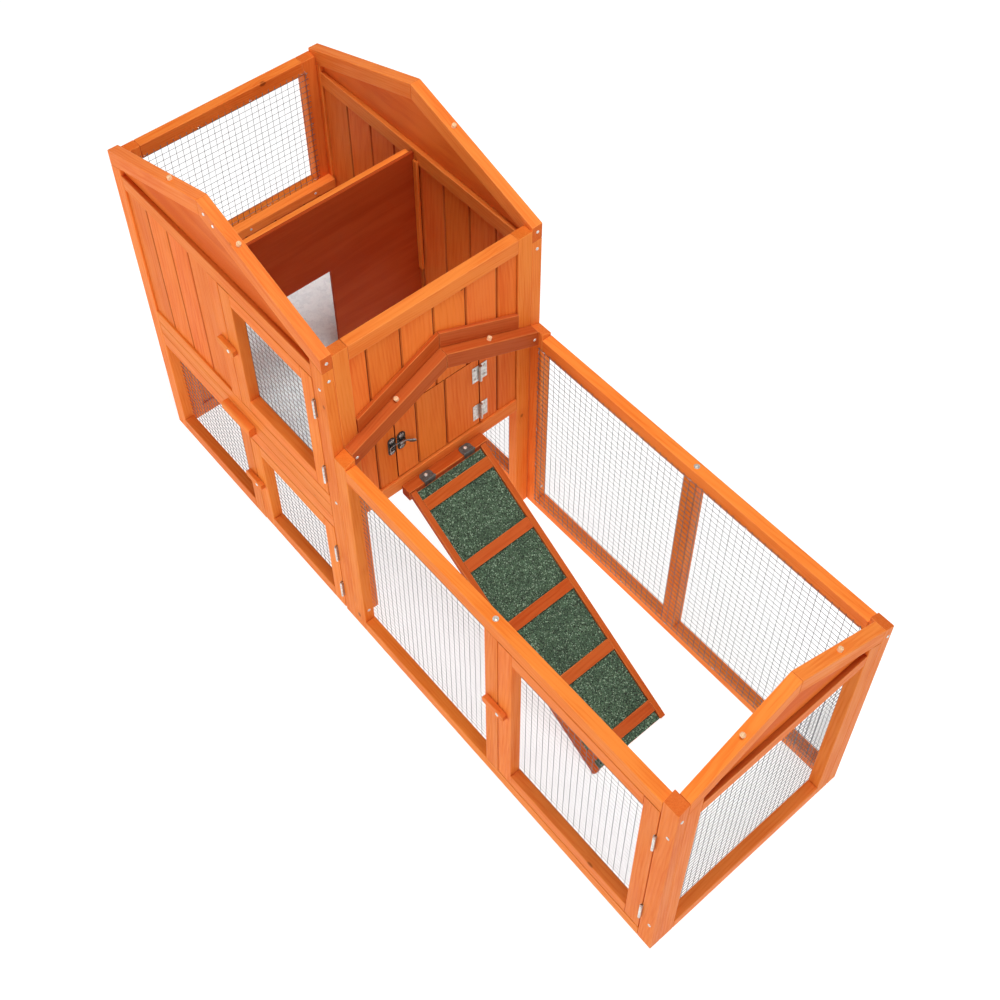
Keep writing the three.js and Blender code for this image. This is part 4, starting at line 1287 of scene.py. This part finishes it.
# ---------------------------------------------------------------- the whole
house_front_frame()
house_back_frame()
house_gable("front", FRONT_STICKS, (8, 12))
house_gable("back", BACK_STICKS, (DEPTH - 12, DEPTH - 8))
house_boards()
house_ends()
for node, axis, faces_in in (("front_lower", "y", 1), ("back_lower", "y", -1), ("left", "x", 1)):
    wire_panel(f"house_{node}_wire", "hutch", axis, faces_in)
drawer()
tray_pan()
for side in ("left", "right"):
    boxed_stick("tray_runner_" + side, f"tray_runner_{side}_stick")
divider()
divider_guides()
DOORS = (("upper", "upper_door", 30), ("lower", "lower_door", 29), ("run", "run_gate", 29))
for door, body, stick in DOORS:
    wire_door(door + "_door", body, stick)
for door, _, _ in DOORS:
    turn_button(door + "_door", door + "_button")
pop_door()
hook_plate("wall", "hutch")
hook_plate("door", "pop_hatch")
hook_arm()
run_side("front", FRONT_STICKS)
run_side("back", BACK_STICKS)
run_end()
for side, axis, faces_in in (("front", "y", 1), ("back", "y", -1), ("end", "x", -1)):
    wire_panel(f"run_{side}_wire", "hutch", axis, faces_in)
ramp()
for side, depth, offsets in (("front", 10, (-96, 90)), ("back", DEPTH - 10, (94,))):
    places = [MIDDLE + offset for offset in offsets]
    roof_dowels(f"house_{side}_roof_dowels", "y", house_top, depth, places)
for side, depth in (("header", RUN_START + 10), ("end", LENGTH - 10)):
    roof_dowels(f"run_{side}_roof_dowels", "x", run_top, depth, inset((0, DEPTH), DEPTH / 2 - 92))
frame_screws()


# ---------------------------------------------------------------- studio
def floor():
    """A plain sheet just under the hutch's feet."""
    mesh = bpy.data.meshes.new("studio_floor")
    reach = 30
    corners = [(-reach, -reach), (reach, -reach), (reach, reach), (-reach, reach)]
    mesh.from_pydata([(x, y, -0.0004) for x, y in corners], [], [(0, 1, 2, 3)])
    mesh.materials.append(studio_floor("studio_paper"))
    placed("studio_floor", mesh)


def area_light(name, place, target, size, watts):
    light = bpy.data.lights.new(name, "AREA")
    light.shape = "DISK"
    light.size = size
    light.energy = watts
    item = placed(name, light)
    item.location = place
    item.rotation_mode = "QUATERNION"
    item.rotation_quaternion = (Vector(target) - Vector(place)).to_track_quat("-Z", "Y")


def studio_world():
    """A pale backdrop low round the horizon, under a dim ceiling."""
    world = bpy.data.worlds.new("studio_world")
    world.use_nodes = True
    nodes, links = world.node_tree.nodes, world.node_tree.links
    height = nodes.new("ShaderNodeSeparateXYZ")
    links.new(nodes.new("ShaderNodeTexCoord").outputs["Generated"], height.inputs[0])
    fade = nodes.new("ShaderNodeMapRange")
    fade.interpolation_type = "SMOOTHSTEP"
    for socket, value in zip(("From Min", "From Max", "To Min", "To Max"), (0.16, 0.3, 0.9, 0.04)):
        fade.inputs[socket].default_value = value
    links.new(height.outputs["Z"], fade.inputs["Value"])
    background = nodes["Background"]
    background.inputs["Color"].default_value = (1, 1, 1, 1)
    links.new(fade.outputs[0], background.inputs["Strength"])
    return world


def lighting():
    bpy.context.scene.world = studio_world()
    area_light("key_light", (-1.2, -4.5, 1.6), (0, 0, 0.35), 2.2, 60)
    area_light("top_light", (0.5, 0.0, 4.4), (0, 0, 0.3), 1.8, 144)
    area_light("side_light", (4.4, -0.8, 1.4), (0, 0, 0.4), 2.0, 27)
    bpy.context.scene.view_settings.view_transform = "Standard"


def camera():
    azimuth, elevation, roll = math.radians(51.939), math.radians(48.030), math.radians(-2.027)
    right = Vector((math.cos(azimuth), math.sin(azimuth), 0))
    back = Vector((math.sin(azimuth), -math.cos(azimuth), math.tan(elevation))).normalized()
    basis = Matrix((right, back.cross(right), back)).transposed().to_4x4() @ Matrix.Rotation(roll, 4, "Z")
    lens = bpy.data.cameras.new("camera")
    lens.sensor_width = 36
    lens.lens = 52.587
    lens.shift_x, lens.shift_y = 0.045, -0.195
    item = placed("camera", lens)
    item.matrix_world = Matrix.Translation((1.08377, -0.86467, 2.29061)) @ basis
    bpy.context.scene.camera = item


floor()
lighting()
camera()
